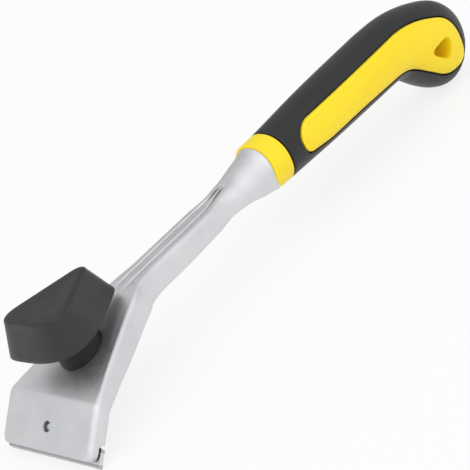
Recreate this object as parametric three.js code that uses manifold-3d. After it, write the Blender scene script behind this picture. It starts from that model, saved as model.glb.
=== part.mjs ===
import * as THREE from 'three';
import { mergeVertices } from 'three/addons/utils/BufferGeometryUtils.js';
import Module from 'manifold-3d';

const wasm = await Module();
wasm.setup();

// Two-handed carbide paint scraper, in millimetres, +Z up.
// +X runs along the blade, +Y from the blade back to the handle.
// It lies as it does on a bench: on the blade's edge and on the heel of the grip.
// The tool is drawn with Y counted from its cutting edge and is centred at the end.

// Fits shared by all pieces
const clearance = 0.3;
const overrun = 4;

// Pressed steel arm: a front plate, a wide head, a narrow neck and a tang in the handle
const sheet = 2;
const armWidth = 60.5;
const pressRadius = 2.6;
const plateLean = THREE.MathUtils.degToRad(46.2);
const plateLength = 22.2;
const plateDepth = 7.25;
const plateFoot = { y: -2.5, z: 6.8 };
const plateCornerDrop = 4;
const plateCornerDraw = 2.6;
const headSlope = THREE.MathUtils.degToRad(16.5);
const headLength = 58.8;
const headDepth = 11.6;
const neckSlope = THREE.MathUtils.degToRad(0.9);
const neckLength = 90.7;
const neckWidth = 16.4;
const neckDepth = 11.6;
const waistWidth = 15;
const waistDepth = 10.5;
const frontBendLength = 3.4;
const frontFanLength = 11;
const rearBendLength = 15;
const tangLength = 72;
const tangWidth = 14;
const tangDepth = 12;
const tangDrop = 0.4;
const tangStepLength = 4;
const grooveOffset = 2.9;
const grooveHalfWidth = 1.6;
const grooveDepth = 0.8;
const grooveStart = 3;
const grooveEnd = 73;
const grooveFade = 9;
const bellRadius = 12;
const bellLength = 30.3;
const bellDrop = 1.66;
const bellRake = THREE.MathUtils.degToRad(8);

// Opening in the side walls that the blade slides through
const notchSetback = 4.6;
const notchHeight = 6.9;
const notchRound = 1.2;

// Blade with two carbide edges
const bladeWidth = 62;
const bladeHeight = 8.6;
const bladeThickness = 2;
const bladeSetback = 5.2;
const bladeProtrusion = 2.6;
const carbideHeight = 1.7;
const carbideBevel = THREE.MathUtils.degToRad(38);

// Seat bar behind the front plate, with the locating pin that shows in the plate's hole
const seatSideGap = 4.5;
const seatFootShare = 0.06;
const seatHeight = 12.8;
const seatLedgeHeight = 3;
const pinRadius = 1.7;
const pinRecess = 0.7;
const plateHoleRadius = 2.45;
const plateHoleHeight = 10.2;

// Clamp: stud, clamp plate, retainer and the knob's axis
const axisFromBend = 24.3;
const axisLean = THREE.MathUtils.degToRad(3.75);
const studRadius = 4;
const studHeadRadius = 8.5;
const studHeadHeight = 3.2;
const studNeckSide = 8;
const studNeckHeight = 2.2;
const threadPitch = 1.25;
const looseningTurns = 2;
const clampThickness = 2.4;
const clampGap = 4.4;
const clampLipHeight = 9.5;
const clampLipFoot = 3.6;
const clampLipSideGap = 5.5;
const clampHeelLength = 5;
const clampSideGap = 1.2;
const clampReachShare = 0.72;
const retainerRadius = 5.8;
const retainerThickness = 0.8;

// Black pedestal that the knob turns on
const pedestalHeight = 7.7;
const pedestalRadius = 11.3;
const pedestalTopRadius = 12.3;
const pedestalFoot = 1.6;
const washerRadius = 10;
const washerThickness = 1;

// Palm knob: a rounded triangle, wider at its rim than on top
const knobFront = 43.9;
const knobReach = 41.9;
const knobFrontShare = 0.37;
const knobLeftCorner = 10.4;
const knobRightCorner = 21;
const knobRightFootCorner = 29;
const knobRearCorner = 8.7;
const knobFlare = 3.8;
const knobHeight = 18.7;
const knobEdge = 2.1;
const knobWall = 2.6;
const knobRimGap = 1;
const knobTurn = THREE.MathUtils.degToRad(1.5);
const hubPlate = 3;
const hubRadius = 9;
const insertRadius = 6.2;
const insertFlange = 8;
const insertFlangeHeight = 1.4;

// Handle: yellow core with collar and side pads, under a black soft grip
const collarLength = 11.5;
const handleLength = 159;
const handleHeight = 31.5;
const handleBulbDepth = 52;
const handleHalfWidth = 15.4;
const gripSkin = 3;
const padRise = 0.5;
const sectionPower = 2.2;

// Hang hole and the two pins that hold the tang
const hangFlareDepth = 2;
const hangFlare = 1.08;
const tangPinRadius = 2;
const tangPinLength = 20;
const tangPinShares = [0.28, 0.78];

// Finish of each material
const steelFinish = { color: 0xb9bcc0, roughness: 0.32, metalness: 1 };
const zincFinish = { color: 0xa9adb2, roughness: 0.4, metalness: 1 };
const carbideFinish = { color: 0x7e8286, roughness: 0.28, metalness: 1 };
const brassFinish = { color: 0xc9a24a, roughness: 0.3, metalness: 1 };
const yellowFinish = { color: 0xf2b705, roughness: 0.42, metalness: 0 };
const gripFinish = { color: 0x1b1b1d, roughness: 0.62, metalness: 0 };
const knobFinish = { color: 0x46474a, roughness: 0.55, metalness: 0 };
const pedestalFinish = { color: 0x141415, roughness: 0.5, metalness: 0 };

const AXIS_X = new THREE.Vector3(1, 0, 0);
const AXIS_Y = new THREE.Vector3(0, 1, 0);
const AXIS_Z = new THREE.Vector3(0, 0, 1);

// A closed mesh as a solid for joining and cutting
function solid(geometry) {
  const bare = geometry.index ? geometry.toNonIndexed() : geometry.clone();
  for (const name of ['normal', 'uv', 'uv1']) bare.deleteAttribute(name);
  const merged = mergeVertices(bare, 1e-4);
  const vertProperties = new Float32Array(merged.attributes.position.array);
  const triVerts = new Uint32Array(merged.index.array);
  return new wasm.Manifold(new wasm.Mesh({ numProp: 3, vertProperties, triVerts }));
}

// The geometry of a finished solid
function shapeOf(body) {
  const mesh = body.getMesh();
  const geometry = new THREE.BufferGeometry();
  geometry.setAttribute('position', new THREE.BufferAttribute(new Float32Array(mesh.vertProperties), 3));
  geometry.setIndex(new THREE.BufferAttribute(new Uint32Array(mesh.triVerts), 1));
  geometry.computeVertexNormals();
  return geometry;
}

function smooth(value, from, to) {
  return THREE.MathUtils.smoothstep(value, from, to);
}

function mix(from, to, share) {
  return from + (to - from) * share;
}

// A smooth curve of one value through keys of [place, value], without overshoot
function rail(keys) {
  const slopes = keys.map(([place, value], i) => {
    if (i === 0 || i === keys.length - 1) return 0;
    const before = (value - keys[i - 1][1]) / (place - keys[i - 1][0]);
    const after = (keys[i + 1][1] - value) / (keys[i + 1][0] - place);
    return before * after <= 0 ? 0 : (2 * before * after) / (before + after);
  });
  return (place) => {
    if (place <= keys[0][0]) return keys[0][1];
    const next = keys.findIndex(([key]) => key >= place);
    if (next < 0) return keys[keys.length - 1][1];
    const [p0, v0] = keys[next - 1];
    const [p1, v1] = keys[next];
    const span = p1 - p0;
    const t = (place - p0) / span;
    const square = t * t;
    const cube = square * t;
    return (2 * cube - 3 * square + 1) * v0 + (cube - 2 * square + t) * span * slopes[next - 1]
      + (3 * square - 2 * cube) * v1 + (cube - square) * span * slopes[next];
  };
}

// A closed body through rings of equal point counts; the end rings are flat
function loft(rings, flatten) {
  const count = rings[0].length;
  const positions = rings.flat().flatMap((point) => [point.x, point.y, point.z]);
  const index = [];
  for (let i = 0; i + 1 < rings.length; i += 1) {
    for (let j = 0; j < count; j += 1) {
      const a = i * count + j;
      const b = i * count + (j + 1) % count;
      index.push(a, b, a + count, b, b + count, a + count);
    }
  }
  const last = (rings.length - 1) * count;
  for (const [ring, start, flip] of [[rings[0], 0, true], [rings[rings.length - 1], last, false]]) {
    const flat = ring.map(flatten);
    for (const [a, b, c] of THREE.ShapeUtils.triangulateShape(flat, [])) {
      const turned = flip ? [a, c, b] : [a, b, c];
      index.push(...turned.map((k) => k + start));
    }
  }
  const geometry = new THREE.BufferGeometry();
  geometry.setAttribute('position', new THREE.Float32BufferAttribute(positions, 3));
  geometry.setIndex(index);
  return geometry;
}

// An outline whose corners are eased along both sides, by a length or by a share of the shorter side
function easedShape(corners) {
  const shape = new THREE.Shape();
  corners.forEach((corner, i) => {
    const here = new THREE.Vector2(...corner.at);
    const before = new THREE.Vector2(...corners[(i + corners.length - 1) % corners.length].at).sub(here);
    const after = new THREE.Vector2(...corners[(i + 1) % corners.length].at).sub(here);
    const shorter = Math.min(before.length(), after.length());
    const ease = corner.ease ?? shorter * (corner.easeShare ?? 0);
    const enter = before.setLength(ease).add(here);
    const leave = after.setLength(ease).add(here);
    if (i === 0) shape.moveTo(enter.x, enter.y);
    else shape.lineTo(enter.x, enter.y);
    if (ease > 0) shape.quadraticCurveTo(here.x, here.y, leave.x, leave.y);
  });
  shape.closePath();
  return shape;
}

// A side view drawn in Y and Z, given a width along X
function acrossX(shape, width, curveSegments = 6) {
  const geometry = new THREE.ExtrudeGeometry(shape, { depth: width, bevelEnabled: false, curveSegments });
  geometry.translate(0, 0, -width / 2);
  geometry.applyMatrix4(new THREE.Matrix4().makeBasis(AXIS_Y, AXIS_Z, AXIS_X));
  return geometry;
}

// A round bar along X
function rodAlongX(radius, length, y, z, segments = 24) {
  const geometry = new THREE.CylinderGeometry(radius, radius, length, segments);
  geometry.rotateZ(Math.PI / 2);
  geometry.translate(0, y, z);
  return geometry;
}

// A turned piece about +Z, its profile of [radius, height] closed on itself
function turned(profile, segments = 32) {
  const points = profile.map(([radius, height]) => new THREE.Vector2(radius, height));
  points.push(points[0].clone());
  const geometry = new THREE.LatheGeometry(points, segments);
  geometry.rotateX(Math.PI / 2);
  return geometry;
}

// Places on the front plate: up along the plate and back from its outer face
function onPlate(up, back) {
  return [
    plateFoot.y + up * Math.cos(plateLean) + back * Math.sin(plateLean),
    plateFoot.z + up * Math.sin(plateLean) - back * Math.cos(plateLean),
  ];
}

const headStart = {
  y: plateFoot.y + plateLength * Math.cos(plateLean),
  z: plateFoot.z + plateLength * Math.sin(plateLean),
};

// Places on the head: along it from the front bend and down from its outer face
function onHead(along, down) {
  return [
    headStart.y + along * Math.cos(headSlope) + down * Math.sin(headSlope),
    headStart.z + along * Math.sin(headSlope) - down * Math.cos(headSlope),
  ];
}

const [axisY, axisZ] = onHead(axisFromBend, 0);

// A group on the knob's axis, with its foot on the head's outer face
function axisGroup() {
  const group = new THREE.Group();
  group.position.set(0, axisY, axisZ);
  group.rotation.x = axisLean;
  return group;
}

// The same place for a solid that is cut together with the arm
function toAxis(geometry) {
  return geometry.rotateX(axisLean).translate(0, axisY, axisZ);
}

// The arm's bends and ends, counted along its outer face from the plate's foot
const bendPlace = plateLength;
const neckPlace = bendPlace + headLength;
const bellPlace = neckPlace + neckLength;
const tangPlace = bellPlace + tangStepLength;
const armEnd = tangPlace + tangLength;

const faceAngle = (place) => mix(
  mix(plateLean, headSlope, THREE.MathUtils.clamp((place - bendPlace) / frontBendLength + 1 / 2, 0, 1)),
  neckSlope,
  THREE.MathUtils.clamp((place - neckPlace) / rearBendLength + 1 / 2, 0, 1),
);
const fanAngle = (place) => mix(
  mix(plateLean, headSlope, THREE.MathUtils.clamp((place - bendPlace) / frontFanLength + 1 / 2, 0, 1)),
  neckSlope,
  THREE.MathUtils.clamp((place - neckPlace) / rearBendLength + 1 / 2, 0, 1),
);

// The head narrows in a straight line and eases into the neck
const taperShares = [[0.04, 0.986], [0.33, 0.785], [0.72, 0.54], [0.92, 0.42], [1.04, 0.325]];
const headDepthShares = [[0.5, 0.87], [0.85, 0.95]];

// The neck narrows to a waist, then flares into the bell at these shares of the bell's length
const waistBlendShare = 1.35;
const bellPlaceShares = [0.347, 0.693, 0.943];
const bellWidthShares = [0.42, 0.797, 0.951];
const bellDepthShares = [0.099, 0.557, 0.881];
const bellRiseShares = [0.267, 0.632, 0.897];
const blendPlace = bellPlace - bellLength * waistBlendShare;
const waistPlace = bellPlace - bellLength;
const bellRise = bellRadius - (neckDepth + waistDepth) / 4;

function flare(shares, from, to) {
  return shares.map((share, i) => [waistPlace + bellLength * bellPlaceShares[i], mix(from, to, share)]);
}

const halfWidthRail = rail([
  [bendPlace, armWidth / 2],
  ...taperShares.map(([along, wide]) => [bendPlace + headLength * along, armWidth / 2 * wide]),
  [neckPlace + rearBendLength, neckWidth / 2],
  [blendPlace, neckWidth / 2],
  [waistPlace, waistWidth / 2],
  ...flare(bellWidthShares, waistWidth / 2, bellRadius),
  [bellPlace, bellRadius],
  [tangPlace, tangWidth / 2],
]);
const depthRail = rail([
  [bendPlace, plateDepth + clearance],
  ...headDepthShares.map(([along, deep]) => [bendPlace + headLength * along, headDepth * deep]),
  [neckPlace, headDepth],
  [neckPlace + neckLength / 4, neckDepth],
  [waistPlace, waistDepth],
  ...flare(bellDepthShares, waistDepth, bellRadius * bellDrop),
  [bellPlace, bellRadius * bellDrop],
  [tangPlace, tangDepth],
]);
const riseRail = rail([
  [blendPlace, 0],
  ...flare(bellRiseShares, 0, bellRise),
  [bellPlace, bellRise],
  [tangPlace, -tangDrop],
]);
const cornerRail = rail([
  [blendPlace, pressRadius],
  [bellPlace, bellRadius * 0.96],
  [tangPlace, pressRadius],
]);

function halfWidth(place) {
  const rest = 1 - Math.min(place / plateCornerDrop, 1);
  return halfWidthRail(place) - plateCornerDraw * (1 - Math.sqrt(1 - rest * rest));
}

function grooveShare(place) {
  const start = neckPlace + grooveStart;
  const end = neckPlace + grooveEnd;
  const rise = smooth(place, start - grooveFade, start + grooveFade);
  return rise * (1 - smooth(place, end - grooveFade / 2, end));
}

// The outer face's line in the middle plane, walked in short steps
function armLine(places) {
  const steps = 400;
  const line = [];
  let y = plateFoot.y;
  let z = plateFoot.z;
  let walked = 0;
  for (const place of places) {
    const stride = (place - walked) / steps;
    for (let i = 0; i < steps; i += 1) {
      const angle = faceAngle(walked + (i + 1 / 2) * stride);
      y += stride * Math.cos(angle);
      z += stride * Math.sin(angle);
    }
    walked = place;
    line.push([y, z]);
  }
  return line;
}

// The channel's sections fan out in the bends and lean forward at the bell's mouth
function onSection(place, [y, z], x, down) {
  const fan = fanAngle(place) - bellRake * smooth(place, bellPlace - bellLength, bellPlace)
    * (1 - smooth(place, bellPlace, tangPlace));
  const drop = down - riseRail(place);
  return new THREE.Vector3(x, y + drop * Math.sin(fan), z - drop * Math.cos(fan));
}

// One ring of the channel: over the outside and back along the inside
function channelRing(place, [y, z]) {
  const half = halfWidth(place);
  const depth = depthRail(place);
  const corner = Math.min(cornerRail(place), half * 0.96);
  const flat = half - corner;
  const press = grooveDepth * grooveShare(place);
  const centre = Math.min(grooveOffset, flat * 0.54);
  const spread = Math.min(grooveHalfWidth, flat * 0.3);
  const arcSteps = 4;
  const turns = Array.from({ length: arcSteps + 1 }, (_, i) => (Math.PI / 2) * (i / arcSteps));
  const grooveShares = [-1, -0.5, 0, 0.5, 1];
  const outline = (inset) => {
    const radius = Math.max(corner - inset, 0.1 * sheet);
    const wall = half - inset;
    const corners = turns.map((turn) => [
      wall - radius * (1 - Math.cos(turn)),
      inset + radius * (1 - Math.sin(turn)),
    ]);
    const points = [[-wall, depth], ...corners.map(([x, down]) => [-x, down])];
    for (const side of [-1, 1]) {
      for (const share of grooveShares) {
        const dip = press * (1 - Math.abs(share)) * (1 + Math.abs(share));
        points.push([side * centre + share * spread, inset + dip]);
      }
    }
    points.push(...corners.reverse(), [wall, depth]);
    return points;
  };
  return [...outline(0), ...outline(sheet).reverse()].map(([x, down]) => onSection(place, [y, z], x, down));
}

function spread(from, to, count) {
  return Array.from({ length: count }, (_, i) => mix(from, to, (i + 1) / count));
}

const armPlaces = [
  0,
  ...spread(0, plateCornerDrop, 4),
  ...spread(plateCornerDrop, bendPlace - frontFanLength / 2, 1),
  ...spread(bendPlace - frontFanLength / 2, bendPlace - frontBendLength / 2, 2),
  ...spread(bendPlace - frontBendLength / 2, bendPlace + frontBendLength / 2, 5),
  ...spread(bendPlace + frontBendLength / 2, bendPlace + frontFanLength / 2, 2),
  ...spread(bendPlace + frontFanLength / 2, neckPlace - rearBendLength / 2, 8),
  ...spread(neckPlace - rearBendLength / 2, neckPlace + rearBendLength, 8),
  ...spread(neckPlace + rearBendLength, waistPlace, 6),
  ...spread(waistPlace, bellPlace, 11),
  ...spread(bellPlace, tangPlace, 2),
  armEnd,
];
const armPoints = armLine(armPlaces);

// The arm's filled outline, grown by a gap, for what it passes through
function tangSpace(gap) {
  const first = armPlaces.indexOf(bellPlace) - 1;
  const rings = armPlaces.slice(first).map((place, i) => {
    const [y, z] = armPoints[first + i];
    const half = halfWidth(place) + gap;
    const depth = depthRail(place);
    const corner = Math.min(cornerRail(place), halfWidth(place) * 0.96) + gap;
    const end = place === armEnd ? gap : 0;
    const ring = [[-half, depth + gap]];
    const arcSteps = 4;
    for (let k = 0; k <= arcSteps; k += 1) {
      const turn = (Math.PI / 2) * (k / arcSteps);
      ring.push([-half + corner * (1 - Math.cos(turn)), -gap + corner * (1 - Math.sin(turn))]);
    }
    for (let k = arcSteps; k >= 0; k -= 1) {
      const turn = (Math.PI / 2) * (k / arcSteps);
      ring.push([half - corner * (1 - Math.cos(turn)), -gap + corner * (1 - Math.sin(turn))]);
    }
    ring.push([half, depth + gap]);
    return ring.map(([x, down]) => onSection(place, [y + end, z], x, down));
  });
  return loft(rings, (point) => new THREE.Vector2(point.x, -point.z));
}

const [bellY, bellZ] = armPoints[armPlaces.indexOf(bellPlace)];
const [tangY, tangZ] = armPoints[armPlaces.indexOf(tangPlace)];
const tangPins = tangPinShares.map((share) => ({
  y: tangY + tangLength * share,
  z: tangZ + tangLength * share * Math.sin(neckSlope) - tangDrop - tangDepth / 2,
}));

function makeArm() {
  const rings = armPlaces.map((place, i) => channelRing(place, armPoints[i]));
  let arm = solid(loft(rings, (point) => new THREE.Vector2(point.x, -point.z)));
  const notch = easedShape([
    { at: onPlate(notchHeight, notchSetback), ease: notchRound },
    { at: onPlate(-overrun, notchSetback) },
    { at: onPlate(-overrun, plateDepth + overrun) },
    { at: onPlate(notchHeight, plateDepth + overrun) },
  ]);
  arm = arm.subtract(solid(acrossX(notch, armWidth + overrun)));
  const hole = new THREE.CylinderGeometry(plateHoleRadius, plateHoleRadius, sheet + overrun, 24);
  hole.rotateX(Math.PI / 2 + plateLean);
  hole.translate(0, ...onPlate(plateHoleHeight, sheet / 2));
  arm = arm.subtract(solid(hole));
  const bore = new THREE.CylinderGeometry(studRadius + clearance, studRadius + clearance, headDepth, 24);
  bore.rotateX(Math.PI / 2);
  arm = arm.subtract(solid(toAxis(bore)));
  for (const pin of tangPins) {
    arm = arm.subtract(solid(rodAlongX(tangPinRadius + clearance, tangWidth + overrun, pin.y, pin.z)));
  }
  return shapeOf(arm);
}

// Blade: a steel strip between two carbide strips, each with one ground bevel
const bladeFoot = -bladeProtrusion;
const bladeBack = bladeSetback + bladeThickness;

function bladeStrip(corners) {
  return acrossX(easedShape(corners.map((at) => ({ at }))), bladeWidth);
}

function makeBladeBody() {
  const low = bladeFoot + carbideHeight + clearance / 2;
  const high = bladeFoot + bladeHeight - carbideHeight - clearance / 2;
  return bladeStrip([
    onPlate(low, bladeBack),
    onPlate(high, bladeBack),
    onPlate(high, bladeSetback),
    onPlate(low, bladeSetback),
  ]);
}

// The cutting corner lies at the back of the lower strip and at the front of the upper one
function makeCarbide(lower) {
  const rise = bladeThickness * Math.tan(carbideBevel);
  if (lower) {
    const root = bladeFoot + carbideHeight - clearance / 2;
    return bladeStrip([
      onPlate(bladeFoot, bladeBack), onPlate(root, bladeBack),
      onPlate(root, bladeSetback), onPlate(bladeFoot + rise * 0.6, bladeSetback),
    ]);
  }
  const top = bladeFoot + bladeHeight;
  const root = top - carbideHeight + clearance / 2;
  return bladeStrip([
    onPlate(root, bladeBack), onPlate(top - rise * 0.6, bladeBack),
    onPlate(top, bladeSetback), onPlate(root, bladeSetback),
  ]);
}

// Seat bar: a strip behind the plate with a ledge over the blade
function makeSeat() {
  const front = sheet + clearance;
  const face = bladeSetback - clearance;
  const foot = seatHeight * seatFootShare;
  const ledge = bladeFoot + bladeHeight + clearance;
  const bar = easedShape([
    { at: onPlate(foot, front) },
    { at: onPlate(foot, face) },
    { at: onPlate(ledge, face) },
    { at: onPlate(ledge, bladeBack - clearance) },
    { at: onPlate(ledge + seatLedgeHeight, bladeBack - clearance) },
    { at: onPlate(ledge + seatLedgeHeight + face - front, face) },
    { at: onPlate(seatHeight + clearance, face) },
    { at: onPlate(seatHeight + clearance, front) },
  ]);
  const boreRadius = pinRadius + clearance;
  const bore = new THREE.CylinderGeometry(boreRadius, boreRadius, bladeBack + overrun, 20);
  bore.rotateX(Math.PI / 2 + plateLean);
  bore.translate(0, ...onPlate(plateHoleHeight, bladeSetback));
  return shapeOf(solid(acrossX(bar, armWidth - seatSideGap * 2)).subtract(solid(bore)));
}

// Locating pin, domed towards the plate's hole
function makePin() {
  const length = bladeSetback - pinRecess;
  const dome = pinRadius / 3;
  const profile = [
    [0, 0], [pinRadius, 0], [pinRadius, length - dome], [pinRadius * 0.8, length - dome / 3], [0, length],
  ];
  const geometry = turned(profile, 20);
  geometry.rotateX(plateLean);
  geometry.translate(0, ...onPlate(plateHoleHeight, bladeSetback));
  return geometry;
}

// Clamp plate: a web below the head, a heel behind and a lip behind the blade
const clampLipWidth = armWidth - clampLipSideGap * 2;
const webTop = sheet + clampGap;
const clampRear = headLength * clampReachShare;

function makeClampPlate() {
  const lipFront = bladeBack + clearance;
  const lipBack = lipFront + clampThickness;
  const outline = easedShape([
    { at: onPlate(clampLipFoot, lipFront) },
    { at: onPlate(clampLipFoot, lipBack) },
    { at: onPlate(clampLipHeight, lipBack), ease: clampThickness },
    { at: onHead(axisFromBend / 2, webTop + clampThickness), ease: clampThickness },
    { at: onHead(clampRear, webTop + clampThickness), ease: clampThickness },
    { at: onHead(clampRear, sheet + clearance) },
    { at: onHead(clampRear - clampThickness, sheet + clearance) },
    { at: onHead(clampRear - clampThickness, webTop), ease: clampThickness / 2 },
    { at: onHead(axisFromBend / 2, webTop), ease: clampThickness },
    { at: onPlate(clampLipHeight, lipFront), ease: clampThickness / 2 },
  ]);
  let plate = solid(acrossX(outline, armWidth));
  const half = (place) => halfWidth(place) - sheet - clampSideGap;
  const plan = easedShape([
    { at: [-clampLipWidth / 2, -overrun] },
    { at: [clampLipWidth / 2, -overrun] },
    { at: [clampLipWidth / 2, onHead(clampHeelLength, 0)[0]], ease: clampThickness },
    { at: [half(bendPlace + clampRear), onHead(clampRear + overrun, 0)[0]] },
    { at: [-half(bendPlace + clampRear), onHead(clampRear + overrun, 0)[0]] },
    { at: [-clampLipWidth / 2, onHead(clampHeelLength, 0)[0]], ease: clampThickness },
  ]);
  const keep = new THREE.ExtrudeGeometry(plan, { depth: armWidth, bevelEnabled: false, curveSegments: 4 });
  plate = plate.intersect(solid(keep));
  const side = studNeckSide + clearance * 2;
  const hole = new THREE.BoxGeometry(side, side, armWidth);
  plate = plate.subtract(solid(toAxis(hole)));
  return shapeOf(plate);
}

// Heights on the knob's axis, where the clamp web crosses it
const webTopOnAxis = -webTop / Math.cos(headSlope - axisLean);
const webUnderOnAxis = -(webTop + clampThickness) / Math.cos(headSlope - axisLean);
const webDip = studHeadRadius * Math.tan(headSlope - axisLean);
const studHeadTop = webUnderOnAxis - webDip - clearance;
const washerFoot = pedestalHeight + clearance;
const knobFoot = washerFoot + washerThickness + clearance;
const studTop = knobFoot + knobHeight - knobWall - looseningTurns * threadPitch;

// Stud: a round head, a square neck in the clamp plate and the threaded shank
function makeStud() {
  const headFoot = studHeadTop - studHeadHeight;
  const round = turned([
    [0, headFoot],
    [studHeadRadius * 0.6, headFoot + studHeadHeight * 0.12],
    [studHeadRadius * 0.9, headFoot + studHeadHeight * 0.45],
    [studHeadRadius, studHeadTop],
    [studRadius, studHeadTop],
    [studRadius, studTop - threadPitch],
    [studRadius - threadPitch / 2, studTop],
    [0, studTop],
  ]);
  const neckTop = webTopOnAxis + clearance;
  const neck = new THREE.BoxGeometry(studNeckSide, studNeckSide, neckTop - studHeadTop + studHeadHeight / 2);
  neck.translate(0, 0, (neckTop + studHeadTop - studHeadHeight / 2) / 2);
  return shapeOf(solid(round).add(solid(neck)));
}

// Push-on ring that keeps the stud in the clamp plate
function makeRetainer() {
  const inner = studRadius + clearance;
  const rise = retainerRadius * Math.tan(headSlope - axisLean);
  const foot = webTopOnAxis + rise + clearance;
  const lift = retainerThickness / 2;
  return turned([
    [inner, foot], [retainerRadius, foot], [retainerRadius, foot + lift],
    [inner + lift, foot + retainerThickness], [inner, foot + retainerThickness],
  ]);
}

// Pedestal: a flared cone with its foot cut to the head's slope
function makePedestal() {
  const cone = turned([
    [studRadius + clearance, -pedestalRadius],
    [pedestalRadius, -pedestalRadius],
    [pedestalRadius, pedestalFoot],
    [mix(pedestalRadius, pedestalTopRadius, 0.4), pedestalHeight * 0.58],
    [pedestalTopRadius, pedestalHeight - pedestalFoot / 2],
    [pedestalTopRadius - pedestalFoot / 4, pedestalHeight],
    [studRadius + clearance, pedestalHeight],
  ], 40);
  const side = pedestalTopRadius * 4;
  const below = new THREE.BoxGeometry(side, side, side);
  below.translate(0, 0, clearance - side / 2);
  below.rotateX(headSlope - axisLean);
  return shapeOf(solid(cone).subtract(solid(below)));
}

function makeWasher() {
  const inner = studRadius + clearance;
  const top = washerFoot + washerThickness;
  return turned([[inner, washerFoot], [washerRadius, washerFoot], [washerRadius, top], [inner, top]]);
}

// The knob's outline on top, its point towards the handle
const knobInradius = (knobFront * knobReach) / (knobFront + 2 * Math.hypot(knobFront / 2, knobReach));

function knobRing(grow, height) {
  const share = 1 + grow / knobInradius;
  const front = -knobReach * knobFrontShare;
  const rise = THREE.MathUtils.clamp((height - knobFoot) / knobHeight, 0, 1);
  const rightCorner = THREE.MathUtils.lerp(knobRightFootCorner, knobRightCorner, rise);
  const shape = easedShape([
    { at: [-knobFront / 2, front], ease: knobLeftCorner },
    { at: [knobFront / 2, front], ease: rightCorner },
    { at: [0, front + knobReach], ease: knobRearCorner },
  ]);
  const points = shape.getPoints(6).slice(0, -1);
  const ring = points.filter((point, i) => i === 0 || point.distanceTo(points[i - 1]) > 0);
  return ring.map((point) => new THREE.Vector3(point.x * share, point.y * share, height)
    .applyAxisAngle(AXIS_Z, knobTurn));
}

const flatTop = (point) => new THREE.Vector2(point.x, point.y);

function makeKnobShell() {
  const top = knobFoot + knobHeight;
  const rows = [[knobFlare - knobEdge / 4, knobFoot], [knobFlare, knobFoot + knobEdge / 3]];
  const shoulder = top - knobEdge;
  const steps = 4;
  for (let i = 0; i <= steps; i += 1) {
    const angle = (Math.PI / 2) * (i / steps);
    rows.push([knobEdge * (Math.cos(angle) - 1) * 0.9, shoulder + knobEdge * Math.sin(angle)]);
  }
  const outside = loft(rows.map(([grow, height]) => knobRing(grow, height)), flatTop);
  const inside = loft([
    knobRing(knobFlare - knobWall, knobFoot - overrun),
    knobRing(knobFlare - knobWall, knobFoot),
    knobRing(-knobWall, top - knobWall),
  ], flatTop);
  return shapeOf(solid(outside).subtract(solid(inside)));
}

// Hub: a cover plate inside the rim and a boss round the insert
function makeHub() {
  const inset = knobFlare - knobWall - clearance * 2;
  const plateFootHeight = knobFoot + knobRimGap / 2;
  const plate = loft([
    knobRing(inset, plateFootHeight),
    knobRing(inset - hubPlate * knobFlare / knobHeight, plateFootHeight + hubPlate),
  ], flatTop);
  const top = knobFoot + knobHeight - knobWall - clearance;
  const boss = new THREE.CylinderGeometry(hubRadius, hubRadius, top - plateFootHeight - hubPlate / 2, 32);
  boss.rotateX(Math.PI / 2);
  boss.translate(0, 0, (top + plateFootHeight + hubPlate / 2) / 2);
  const stepFoot = knobFoot - clearance / 2;
  const pad = turned([
    [0, stepFoot],
    [washerRadius, stepFoot],
    [washerRadius, plateFootHeight + hubPlate / 2],
    [0, plateFootHeight + hubPlate / 2],
  ]);
  const flangeTop = stepFoot + insertFlangeHeight + clearance;
  const space = turned([
    [0, stepFoot - overrun], [insertFlange + clearance, stepFoot - overrun],
    [insertFlange + clearance, flangeTop], [insertRadius + clearance, flangeTop],
    [insertRadius + clearance, top + overrun], [0, top + overrun],
  ]);
  return shapeOf(solid(plate).add(solid(boss)).add(solid(pad)).subtract(solid(space)));
}

// Threaded insert in the hub
function makeInsert() {
  const foot = knobFoot - clearance / 2;
  const top = knobFoot + knobHeight - knobWall - clearance * 2;
  const inner = studRadius + clearance / 2;
  return turned([
    [inner, foot], [insertFlange, foot], [insertFlange, foot + insertFlangeHeight],
    [insertRadius, foot + insertFlangeHeight], [insertRadius, top], [inner, top],
  ]);
}

// Handle, from the collar's front edge at the arm's bell to the heel of the grip
const collarFront = bellY + clearance;
const gripFront = collarFront + collarLength;
const handleAxisZ = bellZ + bellRise - bellRadius;

// Upper and lower line of the handle as shares of its length and of its height from the axis
const upperShares = [
  [0.0063, 0.411], [0.0743, 0.423], [0.2841, 0.483], [0.4886, 0.511], [0.6226, 0.52],
  [0.7186, 0.487], [0.8154, 0.364], [0.8998, 0.163], [0.9435, -0.106], [0.951, -0.369],
  [0.9257, -0.667],
];
const lowerShares = [
  [-0.0137, -0.386], [0.0743, -0.398], [0.2884, -0.421], [0.4884, -0.426], [0.5954, -0.433],
  [0.6411, -0.474], [0.672, -0.625], [0.7104, -0.821], [0.764, -1.024], [0.8131, -1.109],
  [0.8671, -1.039],
];
const widthShares = [0.837, 0.853, 0.944, 0.99, 1, 1, 1, 0.982, 0.93, 0.815, 0.592];

function linePoints(shares) {
  return shares.map(([along, up]) => new THREE.Vector3(
    0,
    collarFront + handleLength * along,
    handleAxisZ + handleHeight * up,
  ));
}
const upperLine = new THREE.CatmullRomCurve3(linePoints(upperShares), false, 'centripetal');
const lowerLine = new THREE.CatmullRomCurve3(linePoints(lowerShares), false, 'centripetal');
const widthLine = rail(widthShares.map((share, i) => [
  i / (widthShares.length - 1),
  handleHalfWidth * share,
]));

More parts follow.
